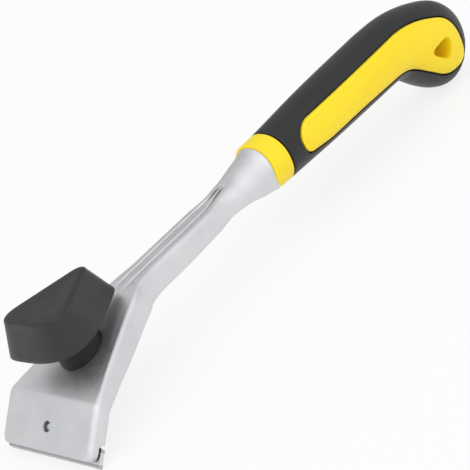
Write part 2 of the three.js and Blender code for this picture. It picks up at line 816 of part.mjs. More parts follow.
// One ring of the handle, drawn in by an inset
function handleRing(share, inset, segments) {
  const upper = upperLine.getPoint(share);
  const lower = lowerLine.getPoint(share);
  const middle = upper.clone().add(lower).multiplyScalar(1 / 2);
  const up = upper.clone().sub(lower);
  const high = up.length() / 2 - inset;
  const wide = widthLine(share) - inset;
  up.normalize();
  return Array.from({ length: segments }, (_, i) => {
    const angle = (-2 * Math.PI * i) / segments;
    const power = 2 / sectionPower;
    const side = Math.sign(Math.cos(angle)) * Math.abs(Math.cos(angle)) ** power * wide;
    const rise = Math.sign(Math.sin(angle)) * Math.abs(Math.sin(angle)) ** power * high;
    return middle.clone().addScaledVector(up, rise).add(new THREE.Vector3(side, 0, 0));
  });
}

// The handle's body between two shares of its length, with a rounded rear end
const heelBulgeShare = 0.3;

function handleBody(from, inset, segments, rows) {
  const rings = [];
  for (let i = 0; i <= rows; i += 1) rings.push(handleRing(mix(from, 1, i / rows), inset, segments));
  const last = rings[rings.length - 1];
  const before = rings[rings.length - 2];
  const middleOf = (ring) => {
    const sum = ring.reduce((total, point) => total.add(point), new THREE.Vector3());
    return sum.divideScalar(ring.length);
  };
  const end = middleOf(last);
  const onward = end.clone().sub(middleOf(before)).normalize();
  const reach = upperLine.getPoint(1).distanceTo(lowerLine.getPoint(1)) / 2 - inset;
  for (const turn of [0.3, 0.58, 0.82, 0.95]) {
    const angle = (Math.PI / 2) * turn;
    const push = Math.sin(angle) ** 2;
    const shrink = new THREE.Vector3(Math.sqrt(1 - push * push), Math.cos(angle), Math.cos(angle));
    rings.push(last.map((point) => point.clone().sub(end).multiply(shrink).add(end)
      .addScaledVector(onward, reach * heelBulgeShare * push)));
  }
  return loft(rings, (point) => new THREE.Vector2(-point.x, point.z));
}

// Side pads of the core, seen from the side, as shares of the handle's length and height
const padShares = [
  { at: [0.1358, -0.156], easeShare: 0.48 },
  { at: [0.2434, -0.221], easeShare: 0.16 },
  { at: [0.3793, -0.2], easeShare: 0.5 },
  { at: [0.6352, -0.237], easeShare: 0.34 },
  { at: [0.7864, -0.864], easeShare: 0.37 },
  { at: [0.889, -0.833], easeShare: 0.48 },
  { at: [0.884, -0.058], easeShare: 0.43 },
  { at: [0.7029, 0.355], easeShare: 0.48 },
  { at: [0.1686, 0.29], easeShare: 0.5 },
  { at: [0.128, 0.125], easeShare: 0.47 },
];

// Corners given as shares, in millimetres beside the handle
function besideHandle(shares) {
  return shares.map(({ at, easeShare }) => ({
    at: [collarFront + handleLength * at[0], handleAxisZ + handleHeight * at[1]],
    easeShare,
  }));
}

function padShape(grow) {
  const outline = easedShape(besideHandle(padShares)).getPoints(6).slice(0, -1);
  return new THREE.Shape(outline.map((point, i) => {
    const before = outline[(i + outline.length - 1) % outline.length];
    const after = outline[(i + 1) % outline.length];
    const along = after.clone().sub(before).normalize();
    return new THREE.Vector2(along.y, -along.x).multiplyScalar(grow).add(point);
  }));
}

// Hang hole: a rounded triangle through the pads
const hangShares = [
  { at: [0.7259, -0.293], easeShare: 0.38 },
  { at: [0.8046, -0.639], easeShare: 0.41 },
  { at: [0.8356, -0.242], easeShare: 0.58 },
];

function hangRing(x, scale) {
  const corners = besideHandle(hangShares);
  const middle = corners.reduce((sum, { at }) => sum.add(new THREE.Vector2(...at)), new THREE.Vector2())
    .divideScalar(corners.length);
  return easedShape(corners).getPoints(5).slice(0, -1).map((point) => {
    const flat = point.clone().sub(middle).multiplyScalar(scale).add(middle);
    return new THREE.Vector3(x, flat.x, flat.y);
  });
}

function hangSpace() {
  const outer = handleHalfWidth * Math.max(...widthShares) + overrun;
  const surface = handleHalfWidth + padRise;
  const mouth = 1 + (hangFlare - 1) * (outer - surface + hangFlareDepth) / hangFlareDepth;
  return loft([
    hangRing(-outer, mouth), hangRing(hangFlareDepth - surface, 1),
    hangRing(surface - hangFlareDepth, 1), hangRing(outer, mouth),
  ], (point) => new THREE.Vector2(point.y, point.z));
}

function slabBehind(y) {
  const side = handleLength * 2;
  const slab = new THREE.BoxGeometry(side, side, side);
  slab.translate(0, y + side / 2, 0);
  return solid(slab);
}

const gripSegments = 36;
const coreSegments = 32;
const innerSegments = 24;
const gripRows = 30;
const coreRows = 26;
const innerRows = 22;
const innerStartShares = { core: 0.03, grip: 0.02 };
const wideShare = Math.max(...widthShares);
const padWidth = (handleHalfWidth * wideShare + overrun) * 2;

function makeCore() {
  const collar = solid(handleBody(0, 0, coreSegments, coreRows)).subtract(slabBehind(gripFront - clearance));
  const inner = solid(handleBody(innerStartShares.core, gripSkin, innerSegments, innerRows));
  const raised = solid(handleBody(0, -padRise, coreSegments, coreRows));
  const pads = solid(acrossX(padShape(0), padWidth)).intersect(raised);
  let core = collar.add(inner).add(pads).subtract(solid(tangSpace(clearance))).subtract(solid(hangSpace()));
  for (const pin of tangPins) {
    const radius = tangPinRadius + clearance / 2;
    core = core.subtract(solid(rodAlongX(radius, tangPinLength + clearance, pin.y, pin.z)));
  }
  return shapeOf(core);
}

function makeGrip() {
  const skin = solid(handleBody(0, 0, gripSegments, gripRows)).intersect(slabBehind(gripFront));
  const inner = solid(handleBody(innerStartShares.grip, gripSkin - clearance, innerSegments, innerRows));
  return shapeOf(skin.subtract(inner).subtract(solid(acrossX(padShape(clearance), padWidth))));
}

function makeTangPin(pin) {
  return rodAlongX(tangPinRadius, tangPinLength, pin.y, pin.z, 20);
}

function mesh(name, geometry, finish) {
  const piece = new THREE.Mesh(geometry, new THREE.MeshStandardMaterial(finish));
  piece.name = name;
  return piece;
}

const armGroup = new THREE.Group();
armGroup.add(mesh('arm', makeArm(), steelFinish));
armGroup.add(mesh('blade_seat', makeSeat(), zincFinish));
armGroup.add(mesh('locating_pin', makePin(), zincFinish));

const bladeGroup = new THREE.Group();
bladeGroup.add(mesh('blade_strip', makeBladeBody(), zincFinish));
bladeGroup.add(mesh('lower_carbide_edge', makeCarbide(true), carbideFinish));
bladeGroup.add(mesh('upper_carbide_edge', makeCarbide(false), carbideFinish));

const clampGroup = new THREE.Group();
clampGroup.add(mesh('clamp_plate', makeClampPlate(), zincFinish));
const studGroup = axisGroup();
studGroup.add(mesh('clamp_stud', makeStud(), zincFinish));
studGroup.add(mesh('stud_retainer', makeRetainer(), zincFinish));
clampGroup.add(studGroup);

const pedestalGroup = axisGroup();
pedestalGroup.add(mesh('knob_pedestal', makePedestal(), pedestalFinish));
pedestalGroup.add(mesh('knob_washer', makeWasher(), zincFinish));

const knobGroup = axisGroup();
knobGroup.add(mesh('knob_shell', makeKnobShell(), knobFinish));
knobGroup.add(mesh('knob_hub', makeHub(), pedestalFinish));
knobGroup.add(mesh('knob_insert', makeInsert(), brassFinish));

const handleGroup = new THREE.Group();
handleGroup.add(mesh('handle_core', makeCore(), yellowFinish));
handleGroup.add(mesh('handle_grip', makeGrip(), gripFinish));
tangPins.forEach((pin, i) => handleGroup.add(mesh(`tang_pin_${i + 1}`, makeTangPin(pin), zincFinish)));

const scraper = new THREE.Group();
scraper.name = 'carbide_paint_scraper';
scraper.add(armGroup, bladeGroup, clampGroup, pedestalGroup, knobGroup, handleGroup);

// The origin lies on the bench below the middle of the tool
scraper.updateMatrixWorld(true);
const extent = new THREE.Box3().setFromObject(scraper);
const centre = extent.getCenter(new THREE.Vector3());
scraper.position.set(0, -centre.y, -extent.min.z);
scraper.updateMatrixWorld(true);

export default scraper;
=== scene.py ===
import logging
import math
from dataclasses import dataclass
from enum import Enum
from typing import Sequence

import bmesh
import bpy
import numpy as np
from mathutils import Matrix, Vector
from mathutils.geometry import delaunay_2d_cdt


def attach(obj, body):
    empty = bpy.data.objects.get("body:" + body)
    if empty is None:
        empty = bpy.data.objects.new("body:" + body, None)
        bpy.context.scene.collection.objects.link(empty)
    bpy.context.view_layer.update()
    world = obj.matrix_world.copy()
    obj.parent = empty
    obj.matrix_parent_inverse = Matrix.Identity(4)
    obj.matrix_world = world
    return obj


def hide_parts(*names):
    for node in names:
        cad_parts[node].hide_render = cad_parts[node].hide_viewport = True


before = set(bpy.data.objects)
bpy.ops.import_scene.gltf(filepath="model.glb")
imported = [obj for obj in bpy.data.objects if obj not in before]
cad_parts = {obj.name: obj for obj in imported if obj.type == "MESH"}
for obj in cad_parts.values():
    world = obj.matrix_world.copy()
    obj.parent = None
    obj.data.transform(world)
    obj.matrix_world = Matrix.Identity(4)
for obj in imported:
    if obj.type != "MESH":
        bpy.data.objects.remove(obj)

logging.basicConfig(level=logging.INFO, format="%(message)s")
LOG = logging.getLogger("scraper")

# The object is drawn in millimetres with Y counted from the cutting edge.
# This shift takes it to the frame's own place, below the middle of the tool.
FRAME_SHIFT = np.array([0.0, -154.6047, 0.06])
MM = 0.001

# Steps by which a crossing is closed in on, enough for full precision
HALVINGS = 40
QUARTER = math.pi / 2

Points = np.ndarray
Faces = list[tuple[int, ...]]


class Body(Enum):
    """The moving bodies of the tool."""

    FRAME = "frame"
    BLADE = "blade"
    CLAMP = "clamp"
    KNOB = "knob"


# Colours


def linear(hex_colour: str) -> tuple[float, float, float, float]:
    """Turn an sRGB hex colour into linear values.

    Args:
        hex_colour: A colour such as "#F4C81E".

    Returns:
        Red, green, blue and alpha, linear.
    """
    def channel(text: str) -> float:
        """Give one channel's linear value."""
        value = int(text, 16) / 255
        return value / 12.92 if value <= 0.04045 else ((value + 0.055) / 1.055) ** 2.4

    code = hex_colour.lstrip("#")
    return channel(code[0:2]), channel(code[2:4]), channel(code[4:6]), 1.0


def per_metre(size_mm: float) -> float:
    """Give the texture scale at which one feature measures size_mm."""
    return 1 / (size_mm * MM)


def add_node(
    tree: bpy.types.NodeTree,
    kind: str,
    settings: dict[str | int, object] | None = None,
    links: dict[str | int, bpy.types.NodeSocket] | None = None,
) -> bpy.types.Node:
    """Add a shader node with its settings and links.

    Args:
        tree: The material's or the world's node tree.
        kind: Blender's name for the node.
        settings: Values for the node's own properties, or for its inputs.
        links: Output sockets to join to its inputs.

    Returns:
        The new node.
    """
    made = tree.nodes.new(kind)
    for key, value in (settings or {}).items():
        if isinstance(key, str) and hasattr(made, key):
            setattr(made, key, value)
        else:
            made.inputs[key].default_value = value
    for key, socket in (links or {}).items():
        tree.links.new(socket, made.inputs[key])
    return made


# Finishes


@dataclass(frozen=True)
class Finish:
    """A finish, with the constant values of its shader."""

    name: str
    slot: str
    colour: str
    shade: str
    roughness: float
    metallic: float = 0.0
    specular: float = 0.5
    coat: float = 0.0

    def material(self) -> bpy.types.Material:
        """Give the finish's material, made once.

        Returns:
            The material, the same one at each call.
        """
        made = bpy.data.materials.get(self.name)
        if made is None:
            made = bpy.data.materials.new(self.name)
            made.use_nodes = True
            made.diffuse_color = linear(self.colour)
            tree = made.node_tree
            shader = tree.nodes["Principled BSDF"]
            shader.inputs["Base Color"].default_value = linear(self.colour)
            shader.inputs["Roughness"].default_value = self.roughness
            shader.inputs["Metallic"].default_value = self.metallic
            if self.metallic == 0:
                shader.inputs["Specular IOR Level"].default_value = self.specular
            shader.inputs["Coat Weight"].default_value = self.coat
            self.paint(tree, shader)
        return made

    def paint(self, tree: bpy.types.NodeTree, shader: bpy.types.Node) -> None:
        """Add the finish's own detail; the plain finish has none."""

    def place(self, tree: bpy.types.NodeTree, stretch: Sequence[float] = (1, 1, 1)) -> bpy.types.NodeSocket:
        """Give the object's own coordinates, stretched along its axes.

        Args:
            tree: The material's node tree.
            stretch: Scale of the pattern along X, Y and Z.

        Returns:
            A vector socket in metres.
        """
        where = add_node(tree, "ShaderNodeTexCoord")
        mapped = add_node(tree, "ShaderNodeMapping", {"Scale": stretch}, {"Vector": where.outputs["Object"]})
        return mapped.outputs["Vector"]

    def cloud(
        self,
        tree: bpy.types.NodeTree,
        size_mm: float,
        detail: float = 2,
        stretch: Sequence[float] = (1, 1, 1),
    ) -> bpy.types.NodeSocket:
        """Give a noise whose patches measure about size_mm.

        Args:
            tree: The material's node tree.
            size_mm: Width of one patch.
            detail: Number of finer layers.
            stretch: Scale of the pattern along X, Y and Z.

        Returns:
            A value socket from 0 to 1.
        """
        noise = add_node(
            tree,
            "ShaderNodeTexNoise",
            {"Scale": per_metre(size_mm), "Detail": detail, "Roughness": 0.55},
            {"Vector": self.place(tree, stretch)},
        )
        return noise.outputs[0]

    def between(
        self,
        tree: bpy.types.NodeTree,
        share: bpy.types.NodeSocket,
        low: float,
        high: float,
        start: float,
        end: float,
    ) -> bpy.types.NodeSocket:
        """Turn a value from low to high into one from start to end.

        Args:
            tree: The material's node tree.
            share: The value.
            low: Value that becomes start.
            high: Value that becomes end.
            start: Result at low.
            end: Result at high.

        Returns:
            The result's socket.
        """
        spread = add_node(
            tree,
            "ShaderNodeMapRange",
            {"From Min": low, "From Max": high, "To Min": start, "To Max": end},
            {"Value": share},
        )
        return spread.outputs[0]

    def tint(
        self,
        tree: bpy.types.NodeTree,
        shader: bpy.types.Node,
        pattern: bpy.types.NodeSocket,
        low: float = 0.35,
        high: float = 0.7,
    ) -> bpy.types.NodeSocket:
        """Let the colour move between the finish's colour and its shade.

        Args:
            tree: The material's node tree.
            shader: The shader that takes the colour.
            pattern: The value that the colour follows.
            low: Value up to which the colour is the finish's own.
            high: Value from which it is the shade.

        Returns:
            The colour's socket.
        """
        share = self.between(tree, pattern, low, high, 0, 1)
        mixed = add_node(
            tree,
            "ShaderNodeMix",
            {"data_type": "RGBA", 6: linear(self.colour), 7: linear(self.shade)},
            {0: share},
        )
        tree.links.new(mixed.outputs[2], shader.inputs["Base Color"])
        return mixed.outputs[2]

    def uneven(
        self,
        tree: bpy.types.NodeTree,
        shader: bpy.types.Node,
        pattern: bpy.types.NodeSocket,
        less: float,
        more: float,
    ) -> None:
        """Let the roughness follow a pattern.

        Args:
            tree: The material's node tree.
            shader: The shader that takes the roughness.
            pattern: The value that the roughness follows.
            less: Roughness that is lost where the pattern is low.
            more: Roughness that is added where it is high.
        """
        rough = self.between(tree, pattern, 0.3, 0.7, self.roughness - less, self.roughness + more)
        tree.links.new(rough, shader.inputs["Roughness"])

    def paint_recess_shade_and_bounce(
        self,
        tree: bpy.types.NodeTree,
        shader: bpy.types.Node,
        surface: bpy.types.NodeSocket,
        deep: str,
        reach_mm: float,
        closed: float,
        open_share: float,
    ) -> None:
        """Paint shade into grooves and corners that ambient occlusion finds closed in, or the warmer colour
        of light bounced between their walls.

        Args:
            tree: The material's node tree.
            shader: The shader that takes the colour.
            surface: The colour of the open surface.
            deep: The painted colour at the bottom of a hollow: shade, or bounced light.
            reach_mm: Width of the grooves and corners that count.
            closed: Openness at which the colour is the deep one.
            open_share: Openness from which the surface keeps its own colour.
        """
        # Ambient occlusion decides where the painted shade or bounce colour takes over from the open surface
        near = add_node(
            tree, "ShaderNodeAmbientOcclusion", {"samples": 8, "only_local": True, "Distance": reach_mm * MM}
        )
        share = self.between(tree, near.outputs["AO"], closed, open_share, 0, 1)
        mixed = add_node(
            tree,
            "ShaderNodeMix",
            {"data_type": "RGBA", 6: linear(deep)},
            {0: share, 7: surface},
        )
        tree.links.new(mixed.outputs[2], shader.inputs["Base Color"])

    def grain(
        self,
        tree: bpy.types.NodeTree,
        shader: bpy.types.Node,
        height: bpy.types.NodeSocket,
        depth_mm: float,
        strength: float,
    ) -> None:
        """Raise the surface by a value.

        Args:
            tree: The material's node tree.
            shader: The shader whose normal is bent.
            height: A value from 0 to 1.
            depth_mm: Height of the value 1.
            strength: Share of the effect that shows.
        """
        bump = add_node(
            tree,
            "ShaderNodeBump",
            {"Strength": strength, "Distance": depth_mm * MM},
            {"Height": height},
        )
        tree.links.new(bump.outputs[0], shader.inputs["Normal"])


class SatinPlatedSteel(Finish):
    """Low-carbon sheet, deep drawn and satin nickel plated.

    It gives the eye a pale grey metal with soft reflections, faint flow lines along
    the drawing direction and a fine orange peel in the plating.
    """

    def paint(self, tree: bpy.types.NodeTree, shader: bpy.types.Node) -> None:
        """Add patches, painted shade in grooves and corners, flow lines along the tool and orange peel.

        Args:
            tree: The material's node tree.
            shader: The shader that takes the values.
        """
        tinted = self.tint(tree, shader, self.cloud(tree, size_mm=14, detail=3))
        # Painted shade: grooves and tight corners turn near black where ambient occlusion finds them closed
        # in
        self.paint_recess_shade_and_bounce(tree, shader, tinted, "#101011", reach_mm=1.5, closed=0.62, open_share=0.93)
        flow = self.cloud(tree, size_mm=0.9, detail=3, stretch=(1, 0.06, 1))
        self.uneven(tree, shader, flow, less=0.04, more=0.06)
        # Plating peel is near 0.1 mm across; it is drawn at 0.6 mm so that a render can hold it
        peel = self.cloud(tree, size_mm=0.6)
        self.grain(tree, shader, peel, depth_mm=0.012, strength=0.3)


class ZincPlatedSteel(Finish):
    """Small steel parts, barrel zinc plated and passivated.

    It gives the eye a cooler grey with cloudy patches and a low, uneven gloss.
    """

    def paint(self, tree: bpy.types.NodeTree, shader: bpy.types.Node) -> None:
        """Add cloudy passivation and small knocks from the barrel.

        Args:
            tree: The material's node tree.
            shader: The shader that takes the values.
        """
        clouds = self.cloud(tree, size_mm=3.5, detail=4)
        self.tint(tree, shader, clouds)
        self.uneven(tree, shader, clouds, less=0.06, more=0.1)
        knocks = self.cloud(tree, size_mm=0.5, detail=3)
        self.grain(tree, shader, knocks, depth_mm=0.03, strength=0.4)


class GroundSteel(Finish):
    """Hardened strip or sintered carbide with a surface-ground face.

    It gives the eye fine parallel wheel marks across the edge, which stretch
    highlights at right angles to them.
    """

    def paint(self, tree: bpy.types.NodeTree, shader: bpy.types.Node) -> None:
        """Add wheel marks across the strip.

        Args:
            tree: The material's node tree.
            shader: The shader that takes the values.
        """
        # Wheel marks are about 0.05 mm apart; they are drawn at 0.25 mm so that they show
        marks = self.cloud(tree, size_mm=0.25, stretch=(1, 0.05, 0.05))
        self.tint(tree, shader, marks, low=0.3)
        self.uneven(tree, shader, marks, less=0.05, more=0.08)
        self.grain(tree, shader, marks, depth_mm=0.01, strength=0.5)


class TurnedBrass(Finish):
    """Free-cutting brass, turned and knurled for moulding in.

    It gives the eye a warm yellow metal with fine rings from the tool.
    """

    def paint(self, tree: bpy.types.NodeTree, shader: bpy.types.Node) -> None:
        """Add turning marks stacked along the insert's axis.

        Args:
            tree: The material's node tree.
            shader: The shader that takes the values.
        """
        rings = self.cloud(tree, size_mm=0.3, detail=1, stretch=(0.05, 0.05, 1))
        self.tint(tree, shader, rings, low=0.3)
        self.grain(tree, shader, rings, depth_mm=0.02, strength=0.5)


class MouldedPolypropylene(Finish):
    """Pigmented polypropylene, injection moulded in a fine-etched tool.

    It gives the eye a deep even yellow with a soft gloss, a very fine etched grain
    and faint flow shading where the melt came in.
    """

    def paint(self, tree: bpy.types.NodeTree, shader: bpy.types.Node) -> None:
        """Add flow shading, a warmer yellow painted into holes and tight corners for bounced light, and
        etched grain.

        Args:
            tree: The material's node tree.
            shader: The shader that takes the values.
        """
        flow = self.cloud(tree, size_mm=26, stretch=(1, 0.35, 1))
        tinted = self.tint(tree, shader, flow, high=0.65)
        # Painted bounce light: hole walls that ambient occlusion finds closed in turn a warmer yellow, for
        # light that goes from wall to wall and comes back warmer from a yellow plastic
        self.paint_recess_shade_and_bounce(tree, shader, tinted, "#FFCE10", reach_mm=7.0, closed=0.3, open_share=0.8)
        # A little light goes into the plastic and comes back yellow from up to 4 mm away
        shader.inputs["Subsurface Weight"].default_value = 0.1
        shader.inputs["Subsurface Radius"].default_value = (1.0, 0.7, 0.05)
        shader.inputs["Subsurface Scale"].default_value = 0.004
        etch = self.cloud(tree, size_mm=0.35)
        self.uneven(tree, shader, etch, less=0.04, more=0.06)
        self.grain(tree, shader, etch, depth_mm=0.02, strength=0.3)


class OvermouldedRubber(Finish):
    """Thermoplastic elastomer, moulded over the core in a blasted tool.

    It gives the eye a soft charcoal with a broad dull sheen, a fine pebble from the
    blasted tool and a trace of bloom on the parts that hands reach least.
    """

    def paint(self, tree: bpy.types.NodeTree, shader: bpy.types.Node) -> None:
        """Add bloom, painted shade in tight corners and the pebble of the blasted tool.

        Args:
            tree: The material's node tree.
            shader: The shader that takes the values.
        """
        tinted = self.tint(tree, shader, self.cloud(tree, size_mm=18, detail=3))
        # Painted shade: the grip's tight corners, as at the window round the pad, turn near black where
        # ambient occlusion finds them closed in
        self.paint_recess_shade_and_bounce(tree, shader, tinted, "#050505", reach_mm=1.4, closed=0.45, open_share=0.85)
        # The blasted pebble is about 0.15 mm; it is drawn at 0.45 mm so that it shows
        pebble = self.cloud(tree, size_mm=0.45)
        self.uneven(tree, shader, pebble, less=0.05, more=0.07)
        self.grain(tree, shader, pebble, depth_mm=0.05, strength=0.35)


class GlassFilledNylon(Finish):
    """Glass-filled polyamide, moulded against a spark-eroded tool.

    It gives the eye a dark grey satin with fine speckle from fibres near the skin
    and a slightly uneven gloss.
    """

    def paint(self, tree: bpy.types.NodeTree, shader: bpy.types.Node) -> None:
        """Add fibre speckle and eroded grain.

        Args:
            tree: The material's node tree.
            shader: The shader that takes the values.
        """
        speckle = self.cloud(tree, size_mm=0.5, detail=3)
        self.tint(tree, shader, speckle)
        self.uneven(tree, shader, self.cloud(tree, size_mm=7, detail=3), less=0.05, more=0.07)
        self.grain(tree, shader, speckle, depth_mm=0.05, strength=0.3)


PRESSED_STEEL = SatinPlatedSteel(
    "satin_nickel_plated_pressed_steel", "pressed_steel", "#DDDEE0", "#D5D6D9", roughness=0.46, metallic=1.0
)
ZINC_STEEL = ZincPlatedSteel(
    "barrel_zinc_plated_steel", "zinc_steel", "#C9CCD0", "#B4B8BE", roughness=0.38, metallic=1.0
)
BLADE_STEEL = GroundSteel(
    "ground_hardened_steel", "blade_steel", "#DCDDDE", "#C9CBCE", roughness=0.28, metallic=1.0
)
CARBIDE = GroundSteel(
    "ground_sintered_carbide", "carbide", "#B9BBBE", "#A3A5A9", roughness=0.24, metallic=1.0
)
BRASS = TurnedBrass(
    "turned_brass", "brass_insert", "#D8B45C", "#C49C45", roughness=0.3, metallic=1.0
)
YELLOW = MouldedPolypropylene(
    "moulded_yellow_polypropylene", "yellow_plastic", "#FCE016", "#FADA0E", roughness=0.4
)
RUBBER = OvermouldedRubber(
    "overmoulded_elastomer", "grip_rubber", "#131314", "#181819", roughness=0.42
)
NYLON = GlassFilledNylon(
    "glass_filled_nylon", "knob_plastic", "#1F2021", "#252627", roughness=0.42
)
ACETAL = GlassFilledNylon(
    "moulded_black_acetal", "black_plastic", "#0A0A0B", "#0F0F10", roughness=0.36, specular=0.35
)


# Curves and outlines


class Rail:
    """A smooth curve of one value through keys, without overshoot."""

    def __init__(self, keys: Sequence[Sequence[float]]) -> None:
        """Work out the slope at each key.

        Args:
            keys: Pairs of place and value, in order of place.
        """
        self.places = np.array([key[0] for key in keys], float)
        self.values = np.array([key[1] for key in keys], float)
        rise = np.diff(self.values) / np.diff(self.places)
        slopes = np.zeros(len(keys))
        product = rise[:-1] * rise[1:]
        total = rise[:-1] + rise[1:]
        slopes[1:-1] = np.where(product > 0, 2 * product / np.where(total == 0, 1, total), 0)
        self.slopes = slopes

    def __call__(self, place: float | Points) -> Points:
        """Give the value at one place or many.

        Args:
            place: The place or places.

        Returns:
            The values, those of the end keys beyond the ends.
        """
        at = np.clip(np.asarray(place, float), self.places[0], self.places[-1])
        i = np.clip(np.searchsorted(self.places, at, side="right") - 1, 0, len(self.places) - 2)
        span = self.places[i + 1] - self.places[i]
        t = (at - self.places[i]) / span
        return (
            (2 * t**3 - 3 * t**2 + 1) * self.values[i]
            + (t**3 - 2 * t**2 + t) * span * self.slopes[i]
            + (3 * t**2 - 2 * t**3) * self.values[i + 1]
            + (t**3 - t**2) * span * self.slopes[i + 1]
        )


class FlowLine:
    """A centripetal line through points in a plane."""

    def __init__(self, points: Points) -> None:
        """Add a point before and after, and measure the steps.

        Args:
            points: The points in order.
        """
        inner = np.asarray(points, float)
        first = 2 * inner[0] - inner[1]
        last = 2 * inner[-1] - inner[-2]
        self.points = np.vstack([first, inner, last])
        self.steps = np.sqrt(np.linalg.norm(np.diff(self.points, axis=0), axis=1))

    def __call__(self, share: float | Points) -> Points:
        """Give the points at shares from 0 to 1.

        Args:
            share: The share or shares, each step of the line counting the same.

        Returns:
            One point for each share.
        """
        at = np.atleast_1d(np.asarray(share, float)) * (len(self.points) - 3)
        i = np.clip(np.floor(at).astype(int), 0, len(self.points) - 4)
        t = (at - i)[:, None]
        p0, p1, p2, p3 = (self.points[i + k] for k in range(4))
        d0, d1, d2 = (self.steps[i + k][:, None] for k in range(3))
        t1 = ((p1 - p0) / d0 - (p2 - p0) / (d0 + d1) + (p2 - p1) / d1) * d1
        t2 = ((p2 - p1) / d1 - (p3 - p1) / (d1 + d2) + (p3 - p2) / d2) * d1
        return p1 + t1 * t + (-3 * p1 + 3 * p2 - 2 * t1 - t2) * t**2 + (2 * p1 - 2 * p2 + t1 + t2) * t**3


def smooth_step(value: float | Points, low: float, high: float) -> Points:
    """Rise smoothly from 0 at low to 1 at high.

    Args:
        value: The value or values.
        low: Value up to which the result is 0.
        high: Value from which it is 1.

    Returns:
        The results.
    """
    t = np.clip((np.asarray(value, float) - low) / (high - low), 0, 1)
    return t * t * (3 - 2 * t)


def mix(start: float, end: float, share: float | Points) -> Points:
    """Go from start to end by a share."""
    return start + (end - start) * share


def quarter(pieces: int, first: int = 1) -> list[float]:
    """Give the angles of a quarter turn in even pieces.

    Args:
        pieces: Number of pieces.
        first: Number of the first angle that is given, 0 being the start.

    Returns:
        The angles.
    """
    return [QUARTER * k / pieces for k in range(first, pieces + 1)]


def circle(count: int) -> Points:
    """Give the angles of a whole turn in even pieces."""
    return np.arange(count) * 2 * math.pi / count


@dataclass(frozen=True)
class Corner:
    """A corner of an outline, eased by a length or by a share of its shorter side."""

    at: tuple[float, float]
    ease: float = 0.0
    share: float = 0.0


def eased_outline(corners: Sequence[Corner], steps: int = 8) -> Points:
    """Draw a closed outline with eased corners.

    Args:
        corners: The corners in order.
        steps: Pieces that each eased corner is drawn with.

    Returns:
        The outline's points, without a repeated end.
    """
    points: list[Points] = []
    for i, corner in enumerate(corners):
        here = np.array(corner.at, float)
        before = np.array(corners[i - 1].at, float) - here
        after = np.array(corners[(i + 1) % len(corners)].at, float) - here
        shorter = min(np.linalg.norm(before), np.linalg.norm(after))
        ease = corner.ease or shorter * corner.share
        if ease == 0:
            points.append(here)
            continue
        enter = here + before / np.linalg.norm(before) * ease
        leave = here + after / np.linalg.norm(after) * ease
        for t in np.linspace(0, 1, steps + 1):
            points.append((1 - t) ** 2 * enter + 2 * t * (1 - t) * here + t * t * leave)
    return np.array(points)


def even_outline(points: Points, spacing: float = 1.0, count: int = 0) -> Points:
    """Walk a closed outline in even steps.

    Args:
        points: The outline.
        spacing: About how far apart the steps are, unless their number is given.
        count: The number of steps, or 0.

    Returns:
        The points of the steps.
    """
    closed = np.vstack([points, points[:1]])
    walked = np.concatenate([[0], np.cumsum(np.linalg.norm(np.diff(closed, axis=0), axis=1))])
    count = count or max(8, int(round(walked[-1] / spacing)))
    at = np.linspace(0, walked[-1], count, endpoint=False)
    return np.column_stack([np.interp(at, walked, closed[:, k]) for k in range(2)])


def outward(points: Points) -> Points:
    """Give the outward directions of a closed outline that runs anticlockwise.

    Args:
        points: The outline.

    Returns:
        A direction of length 1 for each point.
    """
    along = np.roll(points, -1, axis=0) - np.roll(points, 1, axis=0)
    along /= np.linalg.norm(along, axis=1)[:, None]
    return np.column_stack([along[:, 1], -along[:, 0]])


def inside(points: Points, outline: Points) -> Points:
    """Tell which points lie within a closed outline.

    Args:
        points: The points.
        outline: The outline.

    Returns:
        True or false for each point.
    """
    x, y = points[:, 0][:, None], points[:, 1][:, None]
    x1, y1 = outline[:, 0][None], outline[:, 1][None]
    x2, y2 = np.roll(outline[:, 0], -1)[None], np.roll(outline[:, 1], -1)[None]
    crosses = (y1 > y) != (y2 > y)
    with np.errstate(divide="ignore", invalid="ignore"):
        at = (x2 - x1) * (y - y1) / (y2 - y1) + x1
    return (crosses & (x < at)).sum(axis=1) % 2 == 1


def distance(points: Points, outline: Points) -> Points:
    """Give each point's distance to the nearest of an outline's points.

    Args:
        points: The points.
        outline: The outline.

    Returns:
        A distance for each point.
    """
    gap = points[:, None, :] - outline[None, :, :]
    return np.sqrt((gap**2).sum(axis=2)).min(axis=1)


# Meshes


@dataclass
class Shell:
    """Points in millimetres and the faces between them."""

    points: Points
    faces: Faces

    def joined(self, other: "Shell") -> "Shell":
        """Give this shell and another as one.

        Args:
            other: The other shell.

        Returns:
            A shell with the points and faces of both.
        """
        start = len(self.points)
        faces = self.faces + [tuple(k + start for k in face) for face in other.faces]
        return Shell(np.vstack([self.points, other.points]), faces)

    def mirrored(self) -> "Shell":
        """Give this shell together with its mirror image across the middle plane."""
        twin = Shell(self.points * np.array([-1, 1, 1]), [tuple(reversed(face)) for face in self.faces])
        return self.joined(twin)


def loft(rings: Sequence[Points], closed: bool = True, caps: bool = False) -> Shell:
    """Join rings of equal point counts by faces.

    Args:
        rings: The rings, each in three dimensions.
        closed: Whether each ring is closed on itself.
        caps: Whether the first and last rings are filled.

    Returns:
        The shell.
    """
    count = len(rings[0])
    faces: Faces = []
    for i in range(len(rings) - 1):
        for j in range(count if closed else count - 1):
            a, b = i * count + j, i * count + (j + 1) % count
            faces.append((a, b, b + count, a + count))
    if caps:
        last = (len(rings) - 1) * count
        faces.append(tuple(reversed(range(count))))
        faces.append(tuple(range(last, last + count)))
    return Shell(np.vstack(rings), faces)


